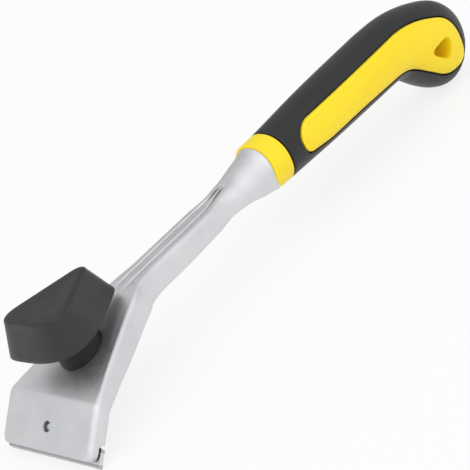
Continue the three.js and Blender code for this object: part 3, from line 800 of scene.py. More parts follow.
def lathe(profile: Sequence[Sequence[float]], segments: int = 72) -> Shell:
    """Turn a closed profile of radius and height about the Z axis.

    Args:
        profile: The profile's points.
        segments: Pieces of the whole turn.

    Returns:
        The turned shell.
    """
    turns = circle(segments)
    rings = [
        np.column_stack([radius * np.cos(turns), radius * np.sin(turns), np.full(segments, height)])
        for radius, height in profile
    ]
    return loft([*rings, rings[0]])


def square_bar(half: float, low: float, high: float) -> Shell:
    """Draw a square bar about the Z axis.

    Args:
        half: Half its width.
        low: Height of its lower end.
        high: Height of its upper end.

    Returns:
        The closed shell.
    """
    square = np.array([(-half, -half), (half, -half), (half, half), (-half, half)])
    return loft([np.column_stack([square, np.full(4, height)]) for height in (low, high)], caps=True)


def rounded_profile(
    profile: Sequence[Sequence[float]], radius: float, steps: int = 3
) -> list[tuple[float, float]]:
    """Round the corners of a closed profile of radius and height.

    Args:
        profile: Corners of the profile; those on the axis stay sharp.
        radius: Length by which each corner is eased.
        steps: Pieces for each corner.

    Returns:
        The rounded profile.
    """
    corners = []
    for i, (r, z) in enumerate(profile):
        before, after = profile[i - 1], profile[(i + 1) % len(profile)]
        shorter = min(math.dist((r, z), before), math.dist((r, z), after))
        corners.append(Corner((r, z), 0.0 if r == 0 else min(radius, shorter * 0.45)))
    return [tuple(point) for point in eased_outline(corners, steps)]


class Bench:
    """Where shells become pieces of the scene."""

    def __init__(self) -> None:
        """Start with nothing made."""
        self.made: list[str] = []

    def raw(
        self, name: str, shell: Shell, placed: Matrix | None = None, weld_mm: float = 0.002
    ) -> bpy.types.Object:
        """Make a bare object from a shell.

        Args:
            name: The object's name.
            shell: Its shape in millimetres.
            placed: Where the shape stands, if not in the tool's own place.
            weld_mm: Distance under which points are merged.

        Returns:
            The object, in metres and in the row's frame.
        """
        points = shell.points
        if placed is not None:
            turn = np.array(placed.to_3x3())
            points = points @ turn.T + np.array(placed.translation)
        mesh = bpy.data.meshes.new(name)
        mesh.from_pydata(((points + FRAME_SHIFT) * MM).tolist(), [], shell.faces)
        work = bmesh.new()
        work.from_mesh(mesh)
        bmesh.ops.remove_doubles(work, verts=work.verts, dist=weld_mm * MM)
        bmesh.ops.dissolve_degenerate(work, edges=work.edges, dist=weld_mm * MM / 2)
        bmesh.ops.recalc_face_normals(work, faces=work.faces)
        work.to_mesh(mesh)
        work.free()
        made = bpy.data.objects.new(name, mesh)
        bpy.context.scene.collection.objects.link(made)
        return made

    def settle(self, piece: bpy.types.Object) -> None:
        """Apply a piece's modifiers to its mesh.

        Args:
            piece: The object.
        """
        bpy.context.view_layer.update()
        seen = piece.evaluated_get(bpy.context.evaluated_depsgraph_get())
        mesh = bpy.data.meshes.new_from_object(seen)
        piece.modifiers.clear()
        piece.data = mesh

    def cut(
        self,
        piece: bpy.types.Object,
        tools: Sequence[bpy.types.Object],
        operation: str = "DIFFERENCE",
    ) -> None:
        """Cut a piece with other solids, or join them to it, and remove those.

        Args:
            piece: The object that is changed.
            tools: The solids.
            operation: Blender's name for the boolean.
        """
        for tool in tools:
            step = piece.modifiers.new(tool.name, "BOOLEAN")
            step.operation = operation
            step.solver = "EXACT"
            step.object = tool
        self.settle(piece)
        for tool in tools:
            bpy.data.objects.remove(tool)

    def ease_edges(
        self, piece: bpy.types.Object, width_mm: float, angle: float = 40, segments: int = 2
    ) -> None:
        """Round a piece's sharp edges by a small width.

        Args:
            piece: The object.
            width_mm: Width of the rounding.
            angle: Angle in degrees above which an edge counts as sharp.
            segments: Pieces of the rounding.
        """
        step = piece.modifiers.new("eased", "BEVEL")
        step.width = width_mm * MM
        step.segments = segments
        step.limit_method = "ANGLE"
        step.angle_limit = math.radians(angle)
        self.settle(piece)

    def finish(
        self,
        piece: bpy.types.Object,
        finish: Finish,
        body: Body,
        stands_for: Sequence[str] = (),
        crease: float = 38,
    ) -> bpy.types.Object:
        """Dress a piece and fix it to its body.

        Args:
            piece: The object.
            finish: Its finish.
            body: The body that carries it.
            stands_for: The CAD nodes that it replaces.
            crease: Angle in degrees above which an edge shows as sharp.

        Returns:
            The same object.
        """
        mesh = piece.data
        mesh.materials.clear()
        mesh.materials.append(finish.material())
        mesh.shade_smooth()
        mesh.set_sharp_from_angle(angle=math.radians(crease))
        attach(piece, body.value)
        if stands_for:
            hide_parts(*stands_for)
        self.made.append(piece.name)
        LOG.info("%s: %d faces, %s, rides on %s", piece.name, len(mesh.polygons), finish.name, body.value)
        return piece

    def keep(self, node: str, finish: Finish) -> None:
        """Keep a CAD node and give it its finish.

        Args:
            node: The node's name.
            finish: Its finish.
        """
        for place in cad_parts[node].material_slots:
            place.material = finish.material()
        LOG.info("%s: kept from the CAD, %s", node, finish.name)


# The pressed arm and everything that is measured along it


@dataclass
class ArmPressing:
    """One sheet, pressed into a front plate, a head, a grooved neck and a bell."""

    sheet: float = 2.0
    width: float = 60.5
    press_radius: float = 2.6
    plate_lean: float = math.radians(46.2)
    plate_length: float = 22.2
    plate_depth: float = 7.25
    plate_foot: tuple[float, float] = (-2.5, 6.8)
    corner_drop: float = 4.0
    corner_draw: float = 2.6
    head_slope: float = math.radians(16.5)
    head_length: float = 58.8
    head_depth: float = 11.6
    neck_slope: float = math.radians(0.9)
    neck_length: float = 90.7
    neck_width: float = 16.4
    neck_depth: float = 11.6
    waist_width: float = 15.0
    waist_depth: float = 10.5
    waist_blend: float = 1.35
    front_bend: float = 3.4
    front_fan: float = 11.0
    rear_bend: float = 15.0
    tang_length: float = 72.0
    tang_width: float = 14.0
    tang_depth: float = 12.0
    tang_drop: float = 0.4
    tang_step: float = 4.0
    groove_offset: float = 2.9
    groove_half: float = 1.15
    groove_depth: float = 1.25
    groove_start: float = 3.0
    groove_end: float = 73.0
    groove_fade: float = 9.0
    groove_swell: float = 0.6
    groove_limits: tuple[float, float] = (0.54, 0.3)
    corner_limit: float = 0.96
    bell_radius: float = 12.0
    bell_length: float = 30.3
    bell_drop: float = 1.66
    bell_rake: float = math.radians(8)
    notch_setback: float = 4.6
    notch_height: float = 6.9
    notch_round: float = 1.2
    hole_radius: float = 2.45
    hole_height: float = 10.2
    bore_radius: float = 4.3
    axis_from_bend: float = 24.3
    axis_lean: float = math.radians(3.75)
    pin_bore: float = 2.3
    pin_shares: tuple[float, float] = (0.28, 0.78)
    taper_shares: tuple[tuple[float, float], ...] = (
        (0.04, 0.986), (0.33, 0.785), (0.72, 0.54), (0.92, 0.42), (1.04, 0.325),
    )
    head_depths: tuple[tuple[float, float], ...] = ((0.5, 10.1), (0.85, 11.0))
    bell_places: tuple[float, float, float] = (0.347, 0.693, 0.943)
    bell_width_shares: tuple[float, float, float] = (0.42, 0.797, 0.951)
    bell_depth_shares: tuple[float, float, float] = (0.099, 0.557, 0.881)
    bell_rise_shares: tuple[float, float, float] = (0.267, 0.632, 0.897)
    edge: float = 0.45
    edge_turns: tuple[float, float, float] = (0.5, 1.05, QUARTER)
    gap: float = 0.3
    overrun: float = 4.0
    walk_steps: int = 40000

    def __post_init__(self) -> None:
        """Work out the places along the sheet and the curves that run along it."""
        self.bend = self.plate_length
        self.neck = self.bend + self.head_length
        self.bell = self.neck + self.neck_length
        self.tang = self.bell + self.tang_step
        self.end = self.tang + self.tang_length
        rise = self.bell_radius - (self.neck_depth + self.waist_depth) / 4
        self.bell_rise = rise
        half = self.width / 2
        blend = self.bell - self.bell_length * self.waist_blend
        waist = self.bell - self.bell_length
        drop = self.bell_radius * self.bell_drop

        def flare(shares: Sequence[float], start: float, end: float) -> list[tuple[float, float]]:
            """Give the bell's keys between two values.

            Args:
                shares: Where each key lies between them.
                start: The value at the waist.
                end: The value at the bell's rim.

            Returns:
                Pairs of place and value.
            """
            return [
                (waist + self.bell_length * along, mix(start, end, share))
                for along, share in zip(self.bell_places, shares)
            ]

        self.half_rail = Rail([
            (self.bend, half),
            *[(self.bend + self.head_length * along, half * wide) for along, wide in self.taper_shares],
            (self.neck + self.rear_bend, self.neck_width / 2),
            (blend, self.neck_width / 2),
            (waist, self.waist_width / 2),
            *flare(self.bell_width_shares, self.waist_width / 2, self.bell_radius),
            (self.bell, self.bell_radius),
            (self.tang, self.tang_width / 2),
        ])
        self.depth_rail = Rail([
            (self.bend, self.plate_depth + self.gap),
            *[(self.bend + self.head_length * along, deep) for along, deep in self.head_depths],
            (self.neck, self.head_depth),
            (self.neck + self.neck_length / 4, self.neck_depth),
            (waist, self.waist_depth),
            *flare(self.bell_depth_shares, self.waist_depth, drop),
            (self.bell, drop),
            (self.tang, self.tang_depth),
        ])
        self.rise_rail = Rail([
            (blend, 0),
            *flare(self.bell_rise_shares, 0, rise),
            (self.bell, rise),
            (self.tang, -self.tang_drop),
        ])
        self.corner_rail = Rail([
            (blend, self.press_radius),
            (self.bell, self.bell_radius * self.corner_limit),
            (self.tang, self.press_radius),
        ])
        walk = np.linspace(0, self.end, self.walk_steps + 1)
        angle = self.lean((walk[1:] + walk[:-1]) / 2, self.front_bend)
        stride = np.diff(walk)
        self.walk = walk
        self.walk_y = self.plate_foot[0] + np.concatenate([[0], np.cumsum(stride * np.cos(angle))])
        self.walk_z = self.plate_foot[1] + np.concatenate([[0], np.cumsum(stride * np.sin(angle))])

    def lean(self, place: float | Points, bend_length: float) -> Points:
        """Give the slope of the outer face at places along it.

        Args:
            place: Places counted from the plate's foot.
            bend_length: Length over which the front bend turns.

        Returns:
            Angles in radians.
        """
        front = np.clip((place - self.bend) / bend_length + 0.5, 0, 1)
        rear = np.clip((place - self.neck) / self.rear_bend + 0.5, 0, 1)
        return mix(mix(self.plate_lean, self.head_slope, front), self.neck_slope, rear)

    def line(self, place: float | Points) -> tuple[Points, Points]:
        """Give Y and Z of the outer face in the middle plane."""
        return np.interp(place, self.walk, self.walk_y), np.interp(place, self.walk, self.walk_z)

    def on_plate(self, up: float, back: float) -> tuple[float, float]:
        """Give Y and Z of a place on the front plate.

        Args:
            up: Length up the plate from its foot.
            back: Length behind its face.

        Returns:
            Y and Z.
        """
        foot_y, foot_z = self.plate_foot
        cos, sin = math.cos(self.plate_lean), math.sin(self.plate_lean)
        return foot_y + up * cos + back * sin, foot_z + up * sin - back * cos

    def on_head(self, along: float, down: float) -> tuple[float, float]:
        """Give Y and Z of a place on the head.

        Args:
            along: Length along the head from the front bend.
            down: Length below its face.

        Returns:
            Y and Z.
        """
        y, z = self.on_plate(self.plate_length, 0)
        cos, sin = math.cos(self.head_slope), math.sin(self.head_slope)
        return y + along * cos + down * sin, z + along * sin - down * cos

    def axis(self) -> Matrix:
        """Give the knob's axis as a placing, its foot on the head."""
        y, z = self.on_head(self.axis_from_bend, 0)
        return Matrix.Translation((0, y, z)) @ Matrix.Rotation(self.axis_lean, 4, "X")

    def half_width(self, place: float) -> float:
        """Give half the width of the sheet at a place."""
        rest = 1 - min(place / self.corner_drop, 1)
        return float(self.half_rail(place)) - self.corner_draw * (1 - math.sqrt(1 - rest * rest))

    def groove_share(self, place: float) -> float:
        """Give the depth of the grooves at a place, as a share.

        Args:
            place: Place along the outer face.

        Returns:
            1 on the neck, fading to 0 at the grooves' ends.
        """
        start, end = self.neck + self.groove_start, self.neck + self.groove_end
        rise = smooth_step(place, start - self.groove_fade, start + self.groove_fade)
        return float(rise * (1 - smooth_step(place, end - self.groove_fade, end)))

    def ring(self, place: float, arc: int = 8, ridge: int = 10) -> Points:
        """Draw one section of the sheet.

        Args:
            place: Place along the outer face.
            arc: Pieces for each bent corner.
            ridge: Pieces across each groove.

        Returns:
            The section's outline in three dimensions.
        """
        half, depth = self.half_width(place), float(self.depth_rail(place))
        corner = min(float(self.corner_rail(place)), half * self.corner_limit)
        flat = half - corner
        press = self.groove_depth * self.groove_share(place)
        offset_limit, half_limit = self.groove_limits
        centre = min(self.groove_offset, flat * offset_limit)
        spread = min(self.groove_half, flat * half_limit)
        turns = np.linspace(0, QUARTER, arc + 1)

        def half_outline(inset: float) -> list[tuple[float, float]]:
            """Draw the right half of a face, from the wall to the middle.

            Args:
                inset: Its depth under the outer face.

            Returns:
                Pairs of X and depth.
            """
            radius = max(corner - inset, 0.1 * self.sheet)
            wall = half - inset
            points = [(wall - radius * (1 - math.cos(t)), inset + radius * (1 - math.sin(t))) for t in turns]
            for share in np.linspace(1, -1, ridge + 1):
                dip = press * (1 - abs(share)) * (1 + abs(share) * self.groove_swell)
                points.append((centre + share * spread, inset + dip))
            return points

        outer, inner = half_outline(0), half_outline(self.sheet)
        wall_top = outer[0][1]
        low = depth - self.edge
        walls = [(half, mix(low, wall_top, k / 3)) for k in range(3)]
        inner_wall = half - self.sheet
        inner_walls = [(inner_wall, mix(low, inner[0][1], k / 3)) for k in range(3)]
        right = walls + outer
        right_inner = inner_walls + inner
        lip, lip_inner = (
            [(x + side * self.edge * (1 - math.cos(t)), low + self.edge * math.sin(t)) for t in turns]
            for x, side, turns in ((half, -1, self.edge_turns), (inner_wall, 1, self.edge_turns[::-1]))
        )
        left, left_inner, left_lip, left_lip_inner = (
            [(-x, d) for x, d in run] for run in (right, right_inner, lip, lip_inner)
        )
        outline = (
            left + right[::-1] + lip + lip_inner + right_inner + left_inner[::-1]
            + left_lip_inner[::-1] + left_lip[::-1]
        )
        return self.set_on(place, outline)

    def set_on(self, place: float, outline: Sequence[Sequence[float]]) -> Points:
        """Stand a flat outline of X and depth on the sheet's line.

        Args:
            place: Place along the outer face.
            outline: The flat outline.

        Returns:
            The outline in three dimensions.
        """
        y, z = self.line(place)
        rake = smooth_step(place, self.bell - self.bell_length, self.bell)
        rake *= 1 - smooth_step(place, self.bell, self.tang)
        fan = self.lean(place, self.front_fan) - self.bell_rake * rake
        flat = np.array(outline)
        drop = flat[:, 1] - float(self.rise_rail(place))
        return np.column_stack([flat[:, 0], y + drop * np.sin(fan), z - drop * np.cos(fan)])

    def places(self) -> Points:
        """Give the places of the sections, close where the sheet bends.

        Returns:
            Places along the outer face, in order.
        """
        # Start and end of each span, and about how far apart its sections are
        spans = [
            (0, self.corner_drop, 0.5), (self.corner_drop, self.bend - self.front_fan / 2, 2.0),
            (self.bend - self.front_fan / 2, self.bend - self.front_bend / 2, 0.8),
            (self.bend - self.front_bend / 2, self.bend + self.front_bend / 2, 0.28),
            (self.bend + self.front_bend / 2, self.bend + self.front_fan / 2, 0.8),
            (self.bend + self.front_fan / 2, self.neck - self.rear_bend / 2, 2.2),
            (self.neck - self.rear_bend / 2, self.neck + self.rear_bend, 0.9),
            (self.neck + self.rear_bend, self.bell - self.bell_length, 1.8),
            (self.bell - self.bell_length, self.bell, 0.7), (self.bell, self.tang, 0.8),
            (self.tang, self.end, 9.0),
        ]
        parts = [np.linspace(a, b, max(2, int(round((b - a) / step)) + 1))[:-1] for a, b, step in spans]
        return np.concatenate([*parts, [self.end]])

    def build(self, bench: Bench) -> None:
        """Make the arm, cut its openings and dress it.

        Args:
            bench: Where it is made.
        """
        arm = bench.raw("pressed_arm", loft([self.ring(place) for place in self.places()], caps=True))
        notch = eased_outline([
            Corner(self.on_plate(self.notch_height, self.notch_setback), self.notch_round),
            Corner(self.on_plate(-self.overrun, self.notch_setback)),
            Corner(self.on_plate(-self.overrun, self.plate_depth + self.overrun)),
            Corner(self.on_plate(self.notch_height, self.plate_depth + self.overrun)),
        ])
        reach = (self.width + self.overrun) / 2
        sides = [np.column_stack([np.full(len(notch), x), notch]) for x in (-reach, reach)]
        tools = [bench.raw("notch_cutter", loft(sides, caps=True))]
        across = Matrix.Translation((0, *self.on_plate(self.hole_height, self.sheet / 2)))
        across = across @ Matrix.Rotation(self.plate_lean, 4, "X")
        tools.append(bench.raw("hole_cutter", self.drum(self.hole_radius, self.sheet * 2.5), across))
        tools.append(bench.raw("bore_cutter", self.drum(self.bore_radius, self.head_depth), self.axis()))
        pin_drum = self.drum(self.pin_bore, self.tang_width + self.overrun)
        for i, (y, z) in enumerate(self.pin_places()):
            turn = Matrix.Translation((0, y, z)) @ Matrix.Rotation(QUARTER, 4, "Y")
            tools.append(bench.raw(f"pin_cutter_{i}", pin_drum, turn))
        bench.cut(arm, tools)
        bench.finish(arm, PRESSED_STEEL, Body.FRAME, ["arm"], crease=32)

    def drum(self, radius: float, length: float, segments: int = 48) -> Shell:
        """Draw a round bar about the Z axis, centred on its place.

        Args:
            radius: Its radius.
            length: Its length.
            segments: Pieces of the whole turn.

        Returns:
            The closed shell.
        """
        turns = circle(segments)
        ends = [
            np.column_stack([radius * np.cos(turns), radius * np.sin(turns), np.full(segments, z)])
            for z in (-length / 2, length / 2)
        ]
        return loft(ends, caps=True)

    def pin_places(self) -> list[tuple[float, float]]:
        """Give Y and Z of the two tang pins.

        Returns:
            One pair for each pin, from the front.
        """
        y, z = (float(v) for v in self.line(self.tang))
        slope = math.sin(self.neck_slope)
        places = []
        for share in self.pin_shares:
            along = self.tang_length * share
            places.append((y + along, z + along * slope - self.tang_drop - self.tang_depth / 2))
        return places


# Blade, seat and clamp


@dataclass
class BladeAndSeat:
    """A reversible blade with two carbide edges, its seat bar and its locating pin."""

    arm: ArmPressing
    width: float = 62.0
    height: float = 8.6
    thickness: float = 2.0
    setback: float = 5.2
    protrusion: float = 2.6
    carbide_height: float = 1.7
    bevel: float = math.radians(38)
    bevel_share: float = 0.6
    seam: float = 0.02
    strip_edge: float = 0.06
    carbide_edge: float = 0.04
    seat_edge: float = 0.25
    seat_side_gap: float = 4.5
    seat_height: float = 12.8
    seat_foot: float = 0.77
    ledge_height: float = 3.0
    pin_radius: float = 1.7
    pin_recess: float = 0.7
    gap: float = 0.3
    sections: int = 13

    def bar(
        self, name: str, corners: Sequence[tuple[float, float]], width: float, bench: Bench
    ) -> bpy.types.Object:
        """Make a bar along X from a section on the front plate.

        Args:
            name: The object's name.
            corners: The section, as places up the plate and back from its face.
            width: The bar's length.
            bench: Where it is made.

        Returns:
            The bare object.
        """
        section = np.array([self.arm.on_plate(*corner) for corner in corners])
        at = np.linspace(-width / 2, width / 2, self.sections)
        rings = [np.column_stack([np.full(len(section), x), section]) for x in at]
        return bench.raw(name, loft(rings, caps=True))

    def build(self, bench: Bench) -> None:
        """Make the blade, its edges, the seat and the pin.

        Args:
            bench: Where they are made.
        """
        foot, back, front = -self.protrusion, self.setback + self.thickness, self.setback
        top = foot + self.height
        rise = self.thickness * math.tan(self.bevel) * self.bevel_share
        root = foot + self.carbide_height
        crown = top - self.carbide_height
        low, high = root - self.seam, crown + self.seam
        pieces = (
            ("ground_blade", ((root, back), (crown, back), (crown, front), (root, front)),
             self.strip_edge, BLADE_STEEL, "blade_strip"),
            ("lower_cutting_edge", ((foot, back), (low, back), (low, front), (foot + rise, front)),
             self.carbide_edge, CARBIDE, "lower_carbide_edge"),
            ("upper_cutting_edge", ((high, back), (top - rise, back), (top, front), (high, front)),
             self.carbide_edge, CARBIDE, "upper_carbide_edge"),
        )
        for name, section, edge, finish, node in pieces:
            piece = self.bar(name, section, self.width, bench)
            bench.ease_edges(piece, edge, segments=1)
            bench.finish(piece, finish, Body.BLADE, [node])
        self.build_seat(top, bench)
        self.build_pin(bench)

    def build_seat(self, blade_top: float, bench: Bench) -> None:
        """Make the seat bar with its ledge over the blade.

        Args:
            blade_top: Height of the blade's upper edge on the plate.
            bench: Where it is made.
        """
        front, face = self.arm.sheet + self.gap, self.setback - self.gap
        ledge = blade_top + self.gap
        back = self.setback + self.thickness - self.gap
        crest = self.seat_height + self.gap
        seat = self.bar("seat_bar", [
            (self.seat_foot, front), (self.seat_foot, face), (ledge, face), (ledge, back),
            (ledge + self.ledge_height, back), (ledge + self.ledge_height + face - front, face),
            (crest, face), (crest, front),
        ], self.arm.width - self.seat_side_gap * 2, bench)
        bore = Matrix.Translation((0, *self.arm.on_plate(self.arm.hole_height, self.setback)))
        bore = bore @ Matrix.Rotation(self.arm.plate_lean, 4, "X")
        drum = self.arm.drum(self.pin_radius + self.gap, self.setback + self.thickness + self.arm.overrun)
        bench.cut(seat, [bench.raw("seat_bore", drum, bore)])
        bench.ease_edges(seat, self.seat_edge)
        bench.finish(seat, ZINC_STEEL, Body.FRAME, ["blade_seat"])

    def build_pin(self, bench: Bench) -> None:
        """Make the pin whose domed end shows in the plate's hole.

        Args:
            bench: Where it is made.
        """
        length, dome = self.setback - self.pin_recess, self.pin_radius / 2
        profile = [(0, 0), (self.pin_radius, 0), (self.pin_radius, length - dome)]
        for turn in quarter(6):
            profile.append((self.pin_radius * math.cos(turn), length - dome + dome * math.sin(turn)))
        at = Matrix.Translation((0, *self.arm.on_plate(self.arm.hole_height, self.setback)))
        pin = bench.raw("pin_in_plate", lathe(profile, 32), at @ Matrix.Rotation(self.arm.plate_lean, 4, "X"))
        bench.finish(pin, ZINC_STEEL, Body.FRAME, ["locating_pin"])


@dataclass
class ClampSet:
    """Clamp plate, coach-headed stud and push-on ring below the head."""

    arm: ArmPressing
    stud_radius: float = 4.0
    head_radius: float = 8.5
    head_height: float = 3.2
    head_rim: float = 0.5
    head_edge: float = 0.2
    neck_side: float = 8.0
    pitch: float = 1.25
    thread_shares: tuple[float, float, float] = (0.2, 0.55, 0.65)
    thread_from: float = 2.0
    thread_short: float = 1.0
    thickness: float = 2.4
    web_gap: float = 4.4
    ring_radius: float = 5.8
    ring_thickness: float = 0.8
    ring_edge: float = 0.15
    stud_top: float = 22.9
    gap: float = 0.3

    def build(self, bench: Bench) -> None:
        """Make the stud and the ring; the clamp plate keeps its CAD shape.

        Args:
            bench: Where they are made.
        """
        bench.keep("clamp_plate", ZINC_STEEL)
        lean = self.arm.head_slope - self.arm.axis_lean
        web_top = -(self.arm.sheet + self.web_gap) / math.cos(lean)
        web_under = web_top - self.thickness / math.cos(lean)
        head_top = web_under - self.head_radius * math.tan(lean) - self.gap
        foot = head_top - self.head_height
        profile: list[tuple[float, float]] = [(0, foot)]
        for turn in quarter(12):
            rise = (self.head_height - self.head_rim) * (1 - math.cos(turn))
            profile.append((self.head_radius * math.sin(turn), foot + rise))
        profile += [
            (self.head_radius, head_top - self.head_edge), (self.head_radius - self.head_edge, head_top),
            (self.stud_radius, head_top),
        ]
        crest, root = self.stud_radius, self.stud_radius - self.pitch / 2
        flat, down, up = (self.pitch * share for share in self.thread_shares)
        z = web_top + self.thread_from
        while z + self.pitch < self.stud_top - self.thread_short:
            profile += [(crest, z), (crest, z + flat), (root, z + down), (root, z + up)]
            z += self.pitch
        profile += [(crest, z), (root, self.stud_top), (0, self.stud_top)]
        stud = bench.raw("coach_stud", lathe(profile, 48), self.arm.axis())
        top = web_top + self.gap
        low = head_top - self.head_height / 2
        side = self.neck_side / 2
        neck = bench.raw("stud_neck", square_bar(side, low, top), self.arm.axis())
        bench.cut(stud, [neck], "UNION")
        bench.finish(stud, ZINC_STEEL, Body.CLAMP, ["clamp_stud"])
        ring_foot = web_top + self.ring_radius * math.tan(lean) + self.gap
        inner = self.stud_radius + self.gap
        lift = self.ring_thickness / 2
        ring = bench.raw("push_on_ring", lathe(rounded_profile([
            (inner, ring_foot), (self.ring_radius, ring_foot), (self.ring_radius, ring_foot + lift),
            (inner + lift, ring_foot + self.ring_thickness), (inner, ring_foot + self.ring_thickness),
        ], self.ring_edge)), self.arm.axis())
        bench.finish(ring, ZINC_STEEL, Body.CLAMP, ["stud_retainer"])


# Knob


@dataclass
class PalmKnob:
    """A hollow rounded triangle over a hub, on a flared black stem."""

    arm: ArmPressing
    front: float = 43.9
    reach: float = 41.9
    front_share: float = 0.37
    left_corner: float = 10.4
    right_corner: float = 21.0
    right_foot_corner: float = 29.0
    rear_corner: float = 8.7
    flare: float = 3.8
    height: float = 18.7
    edge: float = 2.1
    wall: float = 2.6
    dish: float = 0.35
    turn: float = math.radians(1.5)
    stem_height: float = 7.7
    stem_radius: float = 10.6
    stem_top_radius: float = 10.9
    stem_foot: float = 1.6
    stem_curve: float = 1.6
    stem_rim: float = 0.6
    stem_edge: float = 0.25
    bore: float = 4.3
    washer_radius: float = 10.0
    washer_thickness: float = 1.0
    washer_edge: float = 0.2
    lip: float = 0.5
    lip_chamfer: float = 0.2
    dish_shares: tuple[float, ...] = (0.93, 0.84, 0.7, 0.55, 0.4, 0.26, 0.13, 0.04)
    dish_rim: tuple[float, float] = (0.02, 0.75)
    hub_plate: float = 3.0
    hub_chamfer: float = 0.4
    boss_radius: float = 9.0
    insert_flange: float = 8.3
    insert_radius: float = 6.5
    insert_flange_height: float = 1.4
    rim_gap: float = 1.0
    gap: float = 0.3
    corner_steps: int = 24
    outline_points: int = 132

    def __post_init__(self) -> None:
        """Work out the outline and the knob's foot."""
        self.foot = self.stem_height + self.gap + self.washer_thickness + self.gap
        self.inradius = self.front * self.reach / (self.front + 2 * math.hypot(self.front / 2, self.reach))
        self.outline = self.drawn(1.0)

    def drawn(self, rise: float) -> Points:
        """Draw the knob's outline, its right corner softer at the foot than at the top.

        Args:
            rise: Share of the knob's height.

        Returns:
            The outline.
        """
        low = -self.reach * self.front_share
        outline = even_outline(eased_outline([
            Corner((-self.front / 2, low), self.left_corner),
            Corner((self.front / 2, low), mix(self.right_foot_corner, self.right_corner, rise)),
            Corner((0, low + self.reach), self.rear_corner),
        ], self.corner_steps), count=self.outline_points)
        cos, sin = math.cos(self.turn), math.sin(self.turn)
        return outline @ np.array([[cos, sin], [-sin, cos]])

    def ring(self, grow: float, height: float) -> Points:
        """Draw the outline grown by a length, at a height.

        Args:
            grow: The length.
            height: The height, from the head.

        Returns:
            The outline in three dimensions.
        """
        share = 1 + grow / self.inradius
        rise = min(max((height - self.foot) / self.height, 0), 1)
        return np.column_stack([self.drawn(rise) * share, np.full(len(self.outline), height)])

    def build(self, bench: Bench) -> None:
        """Make the stem, washer, shell and hub; the insert keeps its CAD shape.

        Args:
            bench: Where they are made.
        """
        self.build_stem(bench)
        self.build_shell(bench)
        self.build_hub(bench)
        bench.keep("knob_insert", BRASS)

    def build_stem(self, bench: Bench) -> None:
        """Make the flared stem with its foot cut to the head's slope, and the washer.

        Args:
            bench: Where they are made.
        """
        radius, top_radius, top = self.stem_radius, self.stem_top_radius, self.stem_height
        profile = [(self.bore, -radius), (radius, -radius), (radius, self.stem_foot)]
        for share in np.arange(1, 11) / 10:
            profile.append((
                mix(radius, top_radius, share**self.stem_curve),
                mix(self.stem_foot, top - self.stem_foot / 2, share),
            ))
        for turn in quarter(4):
            inset = self.stem_rim * (1 - math.cos(turn))
            profile.append((top_radius - inset, top - self.stem_rim + self.stem_rim * math.sin(turn)))
        profile.append((self.bore, top))
        stem = bench.raw("flared_stem", lathe(profile, 96), self.arm.axis())
        side = top_radius * 2
        block = square_bar(side, self.gap - 2 * side, self.gap)
        tilt = self.arm.axis() @ Matrix.Rotation(self.arm.head_slope - self.arm.axis_lean, 4, "X")
        bench.cut(stem, [bench.raw("slope_cutter", block, tilt)])
        bench.ease_edges(stem, self.stem_edge, angle=50)
        bench.finish(stem, ACETAL, Body.FRAME, ["knob_pedestal"])
        low = self.stem_height + self.gap
        high = low + self.washer_thickness
        washer = bench.raw("plain_washer", lathe(rounded_profile([
            (self.bore, low), (self.washer_radius, low), (self.washer_radius, high), (self.bore, high),
        ], self.washer_edge)), self.arm.axis())
        bench.finish(washer, ZINC_STEEL, Body.FRAME, ["knob_washer"])

    def build_shell(self, bench: Bench) -> None:
        """Make the hollow shell with its rounded rims and slightly dished top.

        Args:
            bench: Where it is made.
        """
        top = self.foot + self.height
        inner, sill = self.flare - self.wall, self.foot + self.lip_chamfer
        rows = [(inner, sill), (inner + self.lip_chamfer, self.foot)]
        for turn in quarter(4, 0):
            grow = self.flare - self.lip * (1 - math.sin(turn))
            rows.append((grow, self.foot + self.lip * (1 - math.cos(turn))))
        shoulder = top - self.edge
        for share in np.arange(1, 9) / 9:
            rows.append((mix(self.flare, 0.0, share), mix(self.foot + self.lip, shoulder, share)))
        for turn in quarter(8, 0):
            rows.append((self.edge * (math.cos(turn) - 1), shoulder + self.edge * math.sin(turn)))
        rings = [self.ring(grow, height) for grow, height in rows]
        base = 1 - self.edge / self.inradius
        count = len(self.outline)
        for share in self.dish_shares:
            sink = self.dish * float(smooth_step(1 - share, *self.dish_rim))
            rings.append(np.column_stack([self.outline * base * share, np.full(count, top - sink)]))
        outside = loft(rings)
        hollow = [self.ring(inner, sill)]
        hollow += [self.ring(mix(inner, -self.wall, s), mix(sill, top - self.wall, s)) for s in (0.5, 1)]
        cavity = loft(hollow)
        for part, last in ((outside, len(rings) - 1), (cavity, len(hollow) - 1)):
            part.faces.append(tuple(range(last * count, (last + 1) * count)))
        shell = bench.raw("knob_cap", outside.joined(cavity), self.arm.axis())
        bench.finish(shell, NYLON, Body.KNOB, ["knob_shell"], crease=50)

    def build_hub(self, bench: Bench) -> None:
        """Make the cover plate with its boss and the pad that runs on the washer.

        Args:
            bench: Where it is made.
        """
        inset = self.flare - self.wall - self.gap * 2
        low = self.foot + self.rim_gap / 2
        high = low + self.hub_plate
        rows = [
            (inset - self.hub_chamfer, low), (inset, low + self.hub_chamfer),
            (inset - self.hub_plate * self.flare / self.height, high),
        ]
        plate = loft([self.ring(grow, height) for grow, height in rows], caps=True)
        hub = bench.raw("knob_hub_plate", plate, self.arm.axis())
        top = self.foot + self.height - self.wall - self.gap
        foot = self.foot - self.gap / 2
